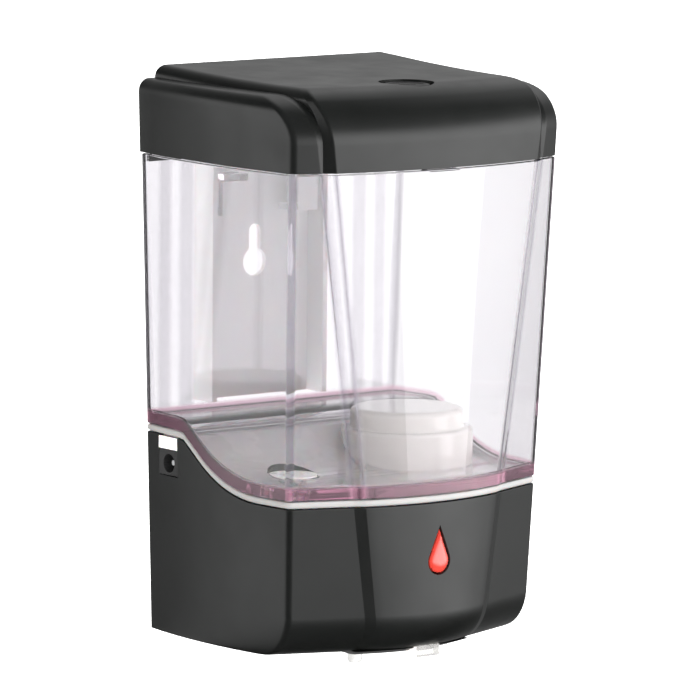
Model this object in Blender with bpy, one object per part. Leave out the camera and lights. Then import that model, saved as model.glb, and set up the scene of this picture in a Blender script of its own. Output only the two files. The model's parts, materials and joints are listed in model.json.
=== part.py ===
"""Wall mounted automatic soap dispenser: wall plate, clear tank, hinged locking lid, black base,
peristaltic pump, battery bay and electronics.

Lengths in this file are millimetres in the design frame: +X to the user's right, the wall is the
plane y = 0 and the user stands at -Y, z = 0 is the underside of the base.  Every object hangs from
the empty "wall_datum", which drops the whole model so that the world origin lies on the back face
of the wall plate.
"""
import math

import bmesh
import bpy
from mathutils import Matrix, Vector

for old in list(bpy.data.objects):
    bpy.data.objects.remove(old, do_unlink=True)

MM = 0.001
GAP = 0.3              # clearance between neighbouring pieces
DATUM_Z = 115.0        # height of the wall datum above the underside of the base

# ---- plan outline: each value is (at z = 0, change per mm of height) ----
BACK_Y = -13.2         # back of the body, which stands off the wall on its plate
SIDE_X = (54.15, 0.0307)
SIDE_BOW = 2.76        # how far the side walls bow out at mid depth
CORNER_Y = (-96.0, -0.0459)
FOLD_X = (25.8, 0.1376)     # where the corner facet meets the raised centre band
FOLD_Y = (-106.8, -0.0067)
STEP_X = (22.55, 0.130)     # outer edge of the raised centre band
STEP_Y = (-108.7, -0.0133)
NOSE_Y = (-113.54, -0.0158)  # centre of the front
SIDE_POINTS = 12
ARC_POINTS = 4

# ---- walls and levels ----
WALL = 2.2
BASE_FLOOR = 2.4
FOOT_R = 14.8          # rounding under the front of the base
SKID_DROP = 1.6        # the centre band stands proud under the base, back to SKID_BACK_Y
SKID_BACK_Y = -43.0
REAR_EDGE_Z = 72.5     # top edge of the base at the back
FRONT_EDGE_Z = 54.4    # top edge of the base at the front
EDGE_ARC_R = 57.6
EDGE_ARC_Y = -82.5
EDGE_SLOPE = math.radians(35.0)
EDGE_TOP_R = 6.0       # rounding where the slope meets the rear edge
SEAL_H = 2.3
TANK_FLOOR = 3.6
TANK_TOP_Z = 173.6
LID_Z = 174.1

# ---- lid ----
LID_SHOULDER_Z = 200.6
LID_SHOULDER_W = 4.6
LID_SHOULDER_H = 4.8
LID_ARC_Z = 184.0
LID_FRONT_R = 25.0
LID_FRONT_H = LID_SHOULDER_Z - LID_ARC_Z
BAND_TOP_Z = 205.2
BAND_ARC_Z = 184.0
BAND_FRONT_R = 20.0    # the rounding over the front: this deep and BAND_FRONT_H high
BAND_FRONT_H = BAND_TOP_Z - BAND_ARC_Z
BODY_DROOP = 0.4       # fall of the lid's shoulders from back to front
BAND_DROOP = 2.6
DROOP_DEPTH = 79.0     # the fall levels out this far from the back
TOP_HALF_FOLD = 49.5   # half width of the band at the front, on top of the lid
TOP_HALF_BACK = 53.4   # and at the back
HINGE_Y = -16.8
HINGE_Z = 197.0
KNUCKLE_R = 3.3
PIN_R = 1.35
BORE_R = 1.65

# ---- lock ----
LOCK_Y = -92.0
LOCK_RECESS_R = 10.0
LOCK_RECESS_Z = 201.1
LOCK_HEAD_R = 8.6
LOCK_BODY_R = 6.0

# ---- wall plate and hooks ----
PLATE_HALF = 25.6
PLATE_BOTTOM_Z = 80.1
PLATE_TOP_Z = 170.0
PLATE_T = 2.2
FLANGE_Y = -11.6
HOOK_X = 15.85
HOOK_Z = 148.2
HOOK_TOP_Z = 160.7
KEYHOLE_Z = 129.3
KEYHOLE_R = 5.2
KEYSLOT_R = 2.6
KEYSLOT_TOP_Z = 140.7

# ---- pump ----
PUMP_X = 24.0
PUMP_Y = -63.1
DOME_R = 24.0
DOME_RIM_Z = 73.9
DOME_TOP_R = 20.6
DOME_TOP_Z = 81.1
PUMP_TUBE_R = 2.8
PUMP_TRACK_R = 15.8
PUMP_TUBE_Z = 30.0
ROLLER_R = 3.8
ROLLER_ORBIT = 8.4
OUTLET_X = -33.0
OUTLET_Y = -71.0
SUMP_Z = 60.2          # floor of the sump, a shallow round well in the tank's floor
NOZZLE_Y = -65.0
NOZZLE_TIP_Z = -10.6

# ---- power ----
CELL_PITCH = 15.0
CELL_Y = -28.0
CELL_R = 7.0
DOOR_PIN_Y = -19.4
DOOR_PIN_Z = 1.3
JACK_Y = -28.8
JACK_Z = 62.5
SWITCH_X = -33.5
SWITCH_Y = -74.6

datum = bpy.data.objects.new("wall_datum", None)
bpy.context.scene.collection.objects.link(datum)
datum.location = (0.0, 0.0, -DATUM_Z * MM)


# ------------------------------------------------------------------ materials and objects

def material(name, colour, roughness, metallic=0.0, transmission=0.0):
    mat = bpy.data.materials.new(name)
    mat.use_nodes = True
    shader = mat.node_tree.nodes["Principled BSDF"]
    shader.inputs["Base Color"].default_value = (*colour, 1.0)
    shader.inputs["Roughness"].default_value = roughness
    shader.inputs["Metallic"].default_value = metallic
    shader.inputs["Transmission Weight"].default_value = transmission
    mat.diffuse_color = (*colour, 1.0)
    return mat


PLASTICS = {
    "satin_black": ((0.045, 0.047, 0.045), 0.42, 0.0, 0.0),
    "clear_tank": ((0.86, 0.83, 0.87), 0.05, 0.0, 0.9),
    "white_abs": ((0.80, 0.79, 0.76), 0.35, 0.0, 0.0),
    "plate_grey": ((0.70, 0.69, 0.68), 0.5, 0.0, 0.0),
    "seal_white": ((0.82, 0.82, 0.80), 0.6, 0.0, 0.0),
    "silicone": ((0.85, 0.84, 0.80), 0.4, 0.0, 0.3),
    "red_lens": ((0.65, 0.06, 0.05), 0.15, 0.0, 0.4),
    "smoke_lens": ((0.75, 0.72, 0.66), 0.2, 0.0, 0.5),
    "board_green": ((0.03, 0.22, 0.10), 0.45, 0.0, 0.0),
    "chip_black": ((0.03, 0.03, 0.03), 0.4, 0.0, 0.0),
    "bright_steel": ((0.62, 0.63, 0.64), 0.28, 1.0, 0.0),
    "nickel": ((0.68, 0.66, 0.60), 0.3, 1.0, 0.0),
    "cell_jacket": ((0.10, 0.11, 0.14), 0.3, 0.0, 0.0),
    "inner_black": ((0.05, 0.05, 0.05), 0.55, 0.0, 0.0),
}


def scratch_object(bm):
    mesh = bpy.data.meshes.new("scratch")
    bmesh.ops.recalc_face_normals(bm, faces=bm.faces)
    bm.to_mesh(mesh)
    bm.free()
    obj = bpy.data.objects.new("scratch", mesh)
    bpy.context.scene.collection.objects.link(obj)
    return obj


def combine(bm, tool, operation):
    """Exact Boolean of two shapes, worked out in design millimetres."""
    body = scratch_object(bm)
    cutter = scratch_object(tool)
    boolean = body.modifiers.new("boolean", "BOOLEAN")
    boolean.operation = operation
    boolean.solver = "EXACT"
    boolean.object = cutter
    result = bmesh.new()
    result.from_object(body, bpy.context.evaluated_depsgraph_get())
    for obj in (body, cutter):
        bpy.data.objects.remove(obj, do_unlink=True)
    bmesh.ops.remove_doubles(result, verts=result.verts, dist=0.004)
    bmesh.ops.dissolve_degenerate(result, edges=result.edges, dist=0.002)
    return result


class Shape:
    """A solid in design millimetres that other solids are joined to and cut from."""

    def __init__(self, bm):
        self.bm = bm

    def join(self, tool):
        self.bm = combine(self.bm, tool, "UNION")

    def cut(self, tool):
        self.bm = combine(self.bm, tool, "DIFFERENCE")


def piece(name, shape, plastic, at=(0.0, 0.0, 0.0), smooth=35.0):
    """Turn a shape in design millimetres into an object whose origin is at the point `at`."""
    bm = shape.bm if isinstance(shape, Shape) else shape
    flat = math.radians(0.05)
    bmesh.ops.dissolve_limit(bm, angle_limit=flat, verts=bm.verts, edges=bm.edges)
    bmesh.ops.recalc_face_normals(bm, faces=bm.faces)
    for vert in bm.verts:
        vert.co = [(c - o) * MM for c, o in zip(vert.co, at)]
    mesh = bpy.data.meshes.new(name)
    bm.to_mesh(mesh)
    bm.free()
    obj = bpy.data.objects.new(name, mesh)
    bpy.context.scene.collection.objects.link(obj)
    obj.parent = datum
    obj.location = [o * MM for o in at]
    colour, roughness, metallic, transmission = PLASTICS[plastic]
    mesh.materials.append(material(name, colour, roughness, metallic, transmission))
    mesh.shade_smooth()
    mesh.set_sharp_from_angle(angle=math.radians(smooth))


# ------------------------------------------------------------------ basic shapes

def box(x0, x1, y0, y1, z0, z1):
    bm = bmesh.new()
    bmesh.ops.create_cube(bm, size=1.0)
    low = (min(x0, x1), min(y0, y1), min(z0, z1))
    high = (max(x0, x1), max(y0, y1), max(z0, z1))
    for vert in bm.verts:
        vert.co = [l + (c + 0.5) * (h - l) for c, l, h in zip(vert.co, low, high)]
    return bm


def place(bm, axis, centre):
    """Turn a shape made along +Z so that it lies along an axis, then move it to its centre."""
    for vert in bm.verts:
        x, y, z = vert.co
        turned_co = {"Z": (x, y, z), "X": (z, x, y), "Y": (x, z, -y)}[axis]
        vert.co = [a + b for a, b in zip(turned_co, centre)]
    return bm


def turned(profile, centre=(0.0, 0.0, 0.0), axis="Z", steps=32):
    """Solid of revolution from (radius, height) points; radius 0 closes on the axis."""
    bm = bmesh.new()
    rings = []
    for radius, height in profile:
        if radius == 0.0:
            rings.append([bm.verts.new((0.0, 0.0, height))])
            continue
        ring = []
        for step in range(steps):
            angle = math.tau * step / steps
            ring.append(bm.verts.new((radius * math.cos(angle), radius * math.sin(angle), height)))
        rings.append(ring)
    open_ended = profile[0][0] == 0.0
    pairs = list(zip(rings, rings[1:]))
    if not open_ended:
        pairs.append((rings[-1], rings[0]))
    for lower, upper in pairs:
        for step in range(steps):
            after = (step + 1) % steps
            corners = [lower[step % len(lower)], lower[after % len(lower)],
                       upper[after % len(upper)], upper[step % len(upper)]]
            unique = list(dict.fromkeys(corners))
            bm.faces.new(unique)
    return place(bm, axis, centre)


def rod(radius, start, end, centre=(0.0, 0.0), axis="Z", steps=24):
    """Cylinder from start to end along an axis; centre holds the other two coordinates."""
    spots = {"Z": (*centre, 0.0), "X": (0.0, *centre), "Y": (centre[0], 0.0, centre[1])}
    profile = [(0.0, start), (radius, start), (radius, end), (0.0, end)]
    return turned(profile, spots[axis], axis, steps)


def ring(outer, inner, start, end, centre=(0.0, 0.0), axis="Z", steps=32):
    spots = {"Z": (*centre, 0.0), "X": (0.0, *centre), "Y": (centre[0], 0.0, centre[1])}
    profile = [(outer, start), (outer, end), (inner, end), (inner, start)]
    return turned(profile, spots[axis], axis, steps)


def prism_x(points, x0, x1):
    """Prism along X over a (y, z) polygon."""
    bm = bmesh.new()
    ends = [[bm.verts.new((x, y, z)) for y, z in points] for x in (x0, x1)]
    bm.faces.new(ends[0])
    bm.faces.new(ends[1])
    count = len(points)
    for i in range(count):
        j = (i + 1) % count
        bm.faces.new([ends[0][i], ends[0][j], ends[1][j], ends[1][i]])
    return bm


def tube(points, radius, sides=8):
    """Sweep a circle along a path, with flat ends."""
    path = [Vector(p) for p in points]
    bm = bmesh.new()
    side = None
    rings = []
    for i, spot in enumerate(path):
        ahead = path[min(i + 1, len(path) - 1)] - path[max(i - 1, 0)]
        ahead.normalize()
        if side is None:
            side = ahead.orthogonal().normalized()
        side = (side - ahead * side.dot(ahead)).normalized()
        other = ahead.cross(side)
        loop = []
        for step in range(sides):
            angle = math.tau * step / sides
            offset = side * math.cos(angle) + other * math.sin(angle)
            loop.append(bm.verts.new(spot + offset * radius))
        rings.append(loop)
    for first, second in zip(rings, rings[1:]):
        for step in range(sides):
            after = (step + 1) % sides
            bm.faces.new([first[step], first[after], second[after], second[step]])
    bm.faces.new(rings[0])
    bm.faces.new(rings[-1])
    return bm


def smooth_path(knots, per_span=6):
    """Catmull-Rom curve through a few knots."""
    ends = [[2 * a - b for a, b in zip(knots[0], knots[1])],
            [2 * a - b for a, b in zip(knots[-1], knots[-2])]]
    full = [ends[0], *knots, ends[1]]
    path = []
    for i in range(1, len(full) - 2):
        for step in range(per_span):
            t = step / per_span
            point = []
            for a, b, c, d in zip(full[i - 1], full[i], full[i + 1], full[i + 2]):
                value = 2 * b + (c - a) * t + (2 * a - 5 * b + 4 * c - d) * t * t
                value += (3 * b - a - 3 * c + d) * t ** 3
                point.append(value / 2)
            path.append(point)
    path.append(list(knots[-1]))
    return path


# ------------------------------------------------------------------ the dispenser's outline

def at_height(rule, z):
    return rule[0] + rule[1] * z


def edge_z(y):
    """Height of the base's top edge: high at the back, an S down to the low front."""
    arc_end_y = EDGE_ARC_Y + EDGE_ARC_R * math.sin(EDGE_SLOPE)
    arc_end_z = FRONT_EDGE_Z + EDGE_ARC_R * (1.0 - math.cos(EDGE_SLOPE))
    if y <= EDGE_ARC_Y:
        return FRONT_EDGE_Z
    if y <= arc_end_y:
        drop = math.sqrt(EDGE_ARC_R ** 2 - (y - EDGE_ARC_Y) ** 2)
        return FRONT_EDGE_Z + EDGE_ARC_R - drop
    meet_y = arc_end_y + (REAR_EDGE_Z - arc_end_z) / math.tan(EDGE_SLOPE)
    tangent = EDGE_TOP_R * math.tan(EDGE_SLOPE / 2.0)
    if y <= meet_y - tangent * math.cos(EDGE_SLOPE):
        return arc_end_z + (y - arc_end_y) * math.tan(EDGE_SLOPE)
    if y >= meet_y + tangent:
        return REAR_EDGE_Z
    return REAR_EDGE_Z - EDGE_TOP_R + math.sqrt(EDGE_TOP_R ** 2 - (meet_y + tangent - y) ** 2)


def half_plan(z, pull=0.0, squeeze=0.0, band=True, steps=SIDE_POINTS):
    """Left half of the outline at height z, from the back corner to the centre of the front.

    pull moves the front back and squeeze moves the sides in, for rounded edges.
    """
    side_x = at_height(SIDE_X, z) - squeeze
    corner_y = at_height(CORNER_Y, z) + pull
    points = []
    for step in range(steps + 1):
        depth = step / steps
        bow = SIDE_BOW * (1.0 - (2.0 * depth - 1.0) ** 2)
        points.append((-(side_x + bow), BACK_Y + depth * (corner_y - BACK_Y)))
    fold_x = min(at_height(FOLD_X, z), side_x - 1.0)
    points.append((-fold_x, at_height(FOLD_Y, z) + pull))
    if not band:
        points.append((0.0, at_height(FOLD_Y, z) + pull))
        return points
    step_x = at_height(STEP_X, z)
    step_y = at_height(STEP_Y, z) + pull
    nose_y = at_height(NOSE_Y, z) + pull
    for i in range(ARC_POINTS + 1):
        across = 1.0 - i / ARC_POINTS
        points.append((-step_x * across, nose_y + (step_y - nose_y) * across ** 2))
    return points


def inset_points(points, distance):
    """Move a closed outline inwards by a distance, corner by corner."""
    count = len(points)
    moved = []
    for i, (x, y) in enumerate(points):
        before = points[i - 1]
        after = points[(i + 1) % count]
        first = (x - before[0], y - before[1])
        second = (after[0] - x, after[1] - y)
        normals = []
        for dx, dy in (first, second):
            length = math.hypot(dx, dy)
            normals.append((-dy / length, dx / length))
        sum_x = normals[0][0] + normals[1][0]
        sum_y = normals[0][1] + normals[1][1]
        scale = 2.0 * distance / (sum_x ** 2 + sum_y ** 2)
        moved.append((x + sum_x * scale, y + sum_y * scale))
    return moved


def full_ring(half, inset=0.0):
    """Mirror a half outline (back left, round the front, to back right) and inset it."""
    right = [(-x, y) for x, y in reversed(half[:-1])]
    points = list(half) + right
    if inset:
        points = inset_points(points, inset)
    return points


def lift(points, height):
    """Give outline points their height: a number, or a function of y."""
    if callable(height):
        return [(x, y, height(y)) for x, y in points]
    return [(x, y, height) for x, y in points]


def add_wall(bm, rings):
    for lower, upper in zip(rings, rings[1:]):
        count = len(lower)
        for i in range(count):
            j = (i + 1) % count
            bm.faces.new([lower[i], lower[j], upper[j], upper[i]])


def add_cap(bm, loop):
    """Close a mirrored ring with strips that run from side to side."""
    count = len(loop)
    for i in range(count // 2):
        corners = [loop[i], loop[i + 1], loop[count - 2 - i], loop[count - 1 - i]]
        bm.faces.new(list(dict.fromkeys(corners)))


def loft(rings):
    bm = bmesh.new()
    loops = [[bm.verts.new(p) for p in points] for points in rings]
    add_wall(bm, loops)
    add_cap(bm, loops[0])
    add_cap(bm, loops[-1])
    return bm


def cup(outer, inner):
    """Open-topped shell: outer rings from the bottom up, inner rings from the bottom up."""
    bm = bmesh.new()
    outside = [[bm.verts.new(p) for p in points] for points in outer]
    inside = [[bm.verts.new(p) for p in points] for points in inner]
    add_wall(bm, outside + inside[::-1])
    add_cap(bm, outside[0])
    add_cap(bm, inside[0])
    return bm


def arc_pull(radius, height):
    """How far a quarter-round of this radius has moved in at a height above its start."""
    height = min(max(height, 0.0), radius)
    return radius - math.sqrt(radius ** 2 - height ** 2)


def above_edge(offset):
    return lambda y: edge_z(y) + offset


# ------------------------------------------------------------------ wall plate

def make_wall_plate():
    plate = Shape(box(-PLATE_HALF, PLATE_HALF, -PLATE_T, 0.0, PLATE_BOTTOM_Z, PLATE_TOP_Z))
    for side in (-1, 1):
        flange = box(side * (PLATE_HALF - PLATE_T), side * PLATE_HALF, FLANGE_Y, -1.0,
                     PLATE_BOTTOM_Z, PLATE_TOP_Z)
        plate.join(flange)
        x0 = side * HOOK_X - 5.25
        x1 = side * HOOK_X + 5.25
        hook = [(-1.0, HOOK_Z), (-1.0, HOOK_Z + 2.2), (-9.4, HOOK_Z + 2.2), (-9.4, HOOK_TOP_Z),
                (-11.2, HOOK_TOP_Z), (-11.2, HOOK_Z)]
        plate.join(prism_x(hook, x0, x1))
    plate.cut(rod(KEYHOLE_R, -4.0, 2.0, (0.0, KEYHOLE_Z), "Y"))
    plate.cut(box(-KEYSLOT_R, KEYSLOT_R, -4.0, 2.0, KEYHOLE_Z, KEYSLOT_TOP_Z))
    plate.cut(rod(KEYSLOT_R, -4.0, 2.0, (0.0, KEYSLOT_TOP_Z), "Y"))
    piece("wall_plate", plate, "plate_grey")


# ------------------------------------------------------------------ tank, seal and chassis

def dome_profile(radius, rim_z, top_radius, top_z, bottom_z):
    """Two-tier dome with rounded shoulders."""
    return [(0.0, bottom_z), (radius, bottom_z), (radius, rim_z - 1.4), (radius - 1.4, rim_z),
            (top_radius, rim_z), (top_radius, top_z - 2.4), (top_radius - 2.4, top_z), (0.0, top_z)]


def under_floor(offset):
    """Everything below the S-shaped floor, as a block under a raised copy of the edge curve."""
    top = [(y, edge_z(y) + offset) for y in range(-120, 0, 3)]
    return prism_x([(0.0, 30.0), (-120.0, 30.0), *top], -70.0, 70.0)


def make_tank():
    start = GAP + SEAL_H + GAP
    outer = [lift(full_ring(half_plan(edge)), height) for edge, height in
             ((60.0, above_edge(start)), (TANK_TOP_Z, TANK_TOP_Z))]
    inner = [lift(full_ring(half_plan(edge), WALL), height) for edge, height in
             ((60.0, above_edge(start + TANK_FLOOR)), (TANK_TOP_Z, TANK_TOP_Z))]
    tank = Shape(cup(outer, inner))
    dome_spot = (PUMP_X, PUMP_Y, 0.0)
    dome = Shape(turned(dome_profile(DOME_R, DOME_RIM_Z, DOME_TOP_R, DOME_TOP_Z, 52.0), dome_spot,
                        steps=28))
    dome.cut(under_floor(start + 0.7))
    tank.join(dome.bm)
    tank.cut(turned(dome_profile(DOME_R - 2.0, DOME_RIM_Z - 2.0, DOME_TOP_R - 2.0,
                                 DOME_TOP_Z - 2.0, 50.0), dome_spot, steps=28))
    tank.join(rod(9.2, SUMP_Z - 0.3, SUMP_Z + 1.2, (OUTLET_X, OUTLET_Y), steps=32))
    tank.join(rod(4.5, 46.0, SUMP_Z - 0.2, (OUTLET_X, OUTLET_Y)))
    tank.cut(rod(8.6, SUMP_Z, 70.0, (OUTLET_X, OUTLET_Y), steps=32))
    tank.cut(rod(2.4, 40.0, 70.0, (OUTLET_X, OUTLET_Y)))
    tank.join(box(-56.4, 56.4, BACK_Y - WALL, BACK_Y, TANK_TOP_Z - 3.0, 189.0))
    hinge_tab = [(BACK_Y - 0.5, 185.0), (BACK_Y - 0.5, HINGE_Z), (HINGE_Y - 2.0, HINGE_Z),
                 (BACK_Y - WALL, 185.0)]
    tank.join(prism_x(hinge_tab, -19.5, 19.5))
    tank.join(rod(KNUCKLE_R, -19.5, 19.5, (HINGE_Y, HINGE_Z), "X"))
    tank.cut(rod(BORE_R, -25.0, 25.0, (HINGE_Y, HINGE_Z), "X"))
    catch = [(-114.6, 171.6), (-114.6, 173.4), (-111.4, 173.4), (-111.4, 187.1),
             (-104.5, 187.1), (-104.5, 185.1), (-109.6, 185.1), (-109.6, 171.6)]
    tank.join(prism_x(catch, -6.5, 6.5))
    for side in (-1, 1):
        lug = [(BACK_Y - 0.6, 161.0), (-7.1, 161.0), (-7.1, 151.0), (-4.9, 151.0),
               (-4.9, 163.4), (BACK_Y - 0.6, 163.4)]
        x0 = side * HOOK_X - 4.4
        x1 = side * HOOK_X + 4.4
        tank.join(prism_x(lug, x0, x1))
    piece("tank", tank, "clear_tank")


def make_rim_seal():
    """White seal strip that shows as a light line between the base and the tank."""
    bm = bmesh.new()
    loops = []
    for inset, offset in ((0.0, GAP), (0.0, GAP + SEAL_H), (4.2, GAP + SEAL_H), (4.2, GAP)):
        points = lift(full_ring(half_plan(58.0), inset), above_edge(offset))
        loops.append([bm.verts.new(p) for p in points])
    add_wall(bm, loops + loops[:1])
    piece("rim_seal", bm, "seal_white")


def screw_posts():
    return [(-41.0, -22.0), (41.0, -22.0), (-47.0, -79.0), (47.0, -79.0)]


def make_chassis():
    inset = WALL + 0.4
    rings = [lift(full_ring(half_plan(56.0), inset), above_edge(offset)) for offset in (-2.3, -GAP)]
    chassis = Shape(loft(rings))
    spot = (PUMP_X, PUMP_Y, 0.0)
    chassis.join(turned(dome_profile(DOME_R - 2.4, DOME_RIM_Z - 2.4, DOME_TOP_R - 2.4,
                                      DOME_TOP_Z - 2.4, 53.0), spot, steps=28))
    for x, y in screw_posts():
        chassis.join(rod(4.0, 5.8, edge_z(y) - 1.0, (x, y)))
        chassis.cut(rod(1.7, 4.0, 20.0, (x, y), steps=16))
    for dx in (-24.5, 24.5):
        chassis.join(rod(3.2, 46.4, 57.0, (PUMP_X + dx, PUMP_Y)))
        chassis.cut(rod(1.5, 44.0, 54.0, (PUMP_X + dx, PUMP_Y), steps=16))
    chassis.cut(turned(dome_profile(DOME_R - 4.0, DOME_RIM_Z - 4.0, DOME_TOP_R - 4.0,
                                     DOME_TOP_Z - 4.0, 40.0), spot, steps=28))
    chassis.cut(rod(5.2, 45.0, 70.0, (OUTLET_X, OUTLET_Y)))
    chassis.join(box(-57.7, -54.0, JACK_Y - 5.9, JACK_Y + 5.9, 67.7, 72.0))
    piece("chassis", chassis, "white_abs")


def make_inlet_filter():
    screen = Shape(rod(8.3, SUMP_Z + GAP, SUMP_Z + 1.8, (OUTLET_X, OUTLET_Y), steps=32))
    for i in range(6):
        angle = math.tau * i / 6
        spot = (OUTLET_X + 4.8 * math.cos(angle), OUTLET_Y + 4.8 * math.sin(angle))
        screen.cut(rod(1.2, 58.0, 64.0, spot, steps=8))
    piece("inlet_filter", screen, "white_abs")


# ------------------------------------------------------------------ base

def drop_outline(grow):
    """Drop shape in the front panel: a round bottom drawn up to a point, as (x, z)."""
    radius = 4.3 + grow
    centre_z = 33.2
    tip_z = 44.8 + 1.6 * grow
    reach = tip_z - centre_z
    tangent = math.acos(radius / reach)
    points = []
    for i in range(19):
        angle = math.pi / 2 + tangent + (math.tau - 2 * tangent) * i / 18
        points.append((radius * math.cos(angle), centre_z + radius * math.sin(angle)))
    points.append((0.0, tip_z))
    return points


def drop_prism(grow, y0, y1):
    bm = bmesh.new()
    outline = drop_outline(grow)
    ends = [[bm.verts.new((x, y, z)) for x, z in outline] for y in (y0, y1)]
    bm.faces.new(ends[0])
    bm.faces.new(ends[1])
    for i in range(len(outline)):
        j = (i + 1) % len(outline)
        bm.faces.new([ends[0][i], ends[0][j], ends[1][j], ends[1][i]])
    return bm


def base_rings(inset, floor_z, radius):
    """Rings of the base from its floor to the S-shaped top edge, rounded under the front."""
    rings = []
    for part in (0.0, 0.06, 0.24, 0.56, 1.0):
        z = floor_z + radius * part
        pull = arc_pull(radius, radius * (1.0 - part))
        rings.append(lift(full_ring(half_plan(z, pull), inset), z))
    rings.append(lift(full_ring(half_plan(56.0), inset), edge_z))
    return rings


def make_base_shell():
    outer = base_rings(0.0, 0.0, FOOT_R)
    inner = base_rings(WALL, BASE_FLOOR, FOOT_R - WALL)
    base = Shape(cup(outer, inner))
    skid = []
    for z, half, back in ((-SKID_DROP, at_height(STEP_X, 0.0), SKID_BACK_Y - 2.0),
                          (0.6, at_height(FOLD_X, 0.0), SKID_BACK_Y)):
        pull = arc_pull(FOOT_R + SKID_DROP, FOOT_R - z)
        front_y = at_height(STEP_Y, 0.0) + pull + 1.6
        nose_y = at_height(NOSE_Y, 0.0) + pull + 1.6
        points = [(-half, back), (-half, front_y)]
        for i in range(1, ARC_POINTS + 1):
            across = 1.0 - i / ARC_POINTS
            points.append((-half * across, nose_y + (front_y - nose_y) * across ** 2))
        skid.append(lift(full_ring(points), z))
    base.join(loft(skid))
    for x, y in screw_posts():
        base.join(rod(5.2, 0.8, 5.4, (x, y)))
        base.cut(rod(3.4, -1.0, 3.0, (x, y)))
        base.cut(rod(1.8, -1.0, 8.0, (x, y), steps=16))
    for side in (-1, 1):
        base.join(box(side * 33.0, side * 37.0, -22.4, -16.6, 0.8, 4.2))
    base.cut(box(-33.2, 33.2, -39.0, -17.1, -3.0, 3.2))
    base.cut(rod(1.1, -36.5, 36.5, (DOOR_PIN_Y, DOOR_PIN_Z), "X", 16))
    base.cut(box(-60.0, -52.0, JACK_Y - 6.2, JACK_Y + 6.2, 57.9, 80.0))
    base.cut(box(SWITCH_X - 2.9, SWITCH_X + 5.9, SWITCH_Y - 1.6, SWITCH_Y + 1.6, -3.0, 4.0))
    base.cut(rod(6.3, -4.0, 5.0, (0.0, NOZZLE_Y)))
    base.cut(box(-2.9, 8.1, -104.8, -98.2, -4.0, 8.0))
    base.cut(drop_prism(GAP, -120.0, -108.0))
    piece("base_shell", base, "satin_black")


# ------------------------------------------------------------------ lid

def lid_body_rings(inset, bottom):
    """Shoulders, sides and facets of the lid.  inset thins it for the hollow inside."""
    top = LID_SHOULDER_Z - inset
    heights = [bottom, LID_ARC_Z, 188.5, 192.0, 194.2, 196.2, 198.0, 199.4, 200.3, LID_SHOULDER_Z]
    rings = []
    for height in heights:
        pull = arc_pull(LID_FRONT_R, (height - LID_ARC_Z) * LID_FRONT_R / LID_FRONT_H)
        turn = max(0.0, height - (LID_SHOULDER_Z - LID_SHOULDER_H)) / LID_SHOULDER_H
        squeeze = LID_SHOULDER_W * (1.0 - math.sqrt(max(0.0, 1.0 - turn ** 2)))
        points = full_ring(half_plan(min(height, LID_SHOULDER_Z), pull, squeeze, False, 6), inset)
        rings.append(droop_ring(points, min(height, top + 0.01 * (height - bottom)), BODY_DROOP))
    return rings


def droop_ring(points, z, droop):
    """Lower the front of the lid's top a little: it falls from the back and levels out."""
    weight = min(max((z - 182.0) / 18.0, 0.0), 1.0)
    ring_points = []
    for x, y in points:
        left = 1.0 - min(max((BACK_Y - y) / DROOP_DEPTH, 0.0), 1.0)
        ring_points.append((x, y, z - droop * weight * (1.0 - left ** 2)))
    return ring_points


def lid_band_rings(inset, bottom):
    """Raised centre band of the lid, chamfered up from the shoulders and rounded over the front."""
    rings = []
    levels = [(bottom, 0.0), (BAND_ARC_Z, 0.0), (188.5, 0.0), (193.0, 0.0), (197.0, 0.0), (199.6, 0.0),
              (201.2, 0.0), (203.0, 0.55), (204.4, 2.0), (205.0, 3.5), (BAND_TOP_Z, 5.0)]
    for z, narrow in levels:
        pull = arc_pull(BAND_FRONT_R, (z - BAND_ARC_Z) * BAND_FRONT_R / BAND_FRONT_H)
        fold_x = min(at_height(FOLD_X, z) + 0.5, TOP_HALF_FOLD) - narrow
        step_x = min(at_height(STEP_X, z), fold_x - 0.8)
        fold_y = at_height(FOLD_Y, z) + pull + 0.6
        step_y = at_height(STEP_Y, z) + pull
        nose_y = at_height(NOSE_Y, z) + pull
        points = [(narrow - TOP_HALF_BACK, BACK_Y), (-fold_x, fold_y)]
        for i in range(ARC_POINTS + 1):
            across = 1.0 - i / ARC_POINTS
            points.append((-step_x * across, nose_y + (step_y - nose_y) * across ** 2))
        ring_points = full_ring(points, inset)
        extra = densify(ring_points)
        rings.append(droop_ring(extra, z - (inset if z > 195.0 else 0.0), BAND_DROOP))
    return rings


def densify(points, pieces=5):
    """Split the long straight sides of a mirrored ring so its top can follow a curve."""
    count = len(points)
    left = [tuple(a + (b - a) * i / pieces for a, b in zip(points[0], points[1])) for i in range(pieces)]
    right = [tuple(a + (b - a) * (i + 1) / pieces for a, b in zip(points[count - 2], points[count - 1]))
             for i in range(pieces)]
    return left + points[1:count - 1] + right


def open_back(rings, reach):
    """Stretch a hollow's rear points out through the back of the lid."""
    stretched = []
    for points in rings:
        back = max(p[1] for p in points)
        stretched.append([(x, y + reach if y > back - 0.01 else y, z) for x, y, z in points])
    return stretched


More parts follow.
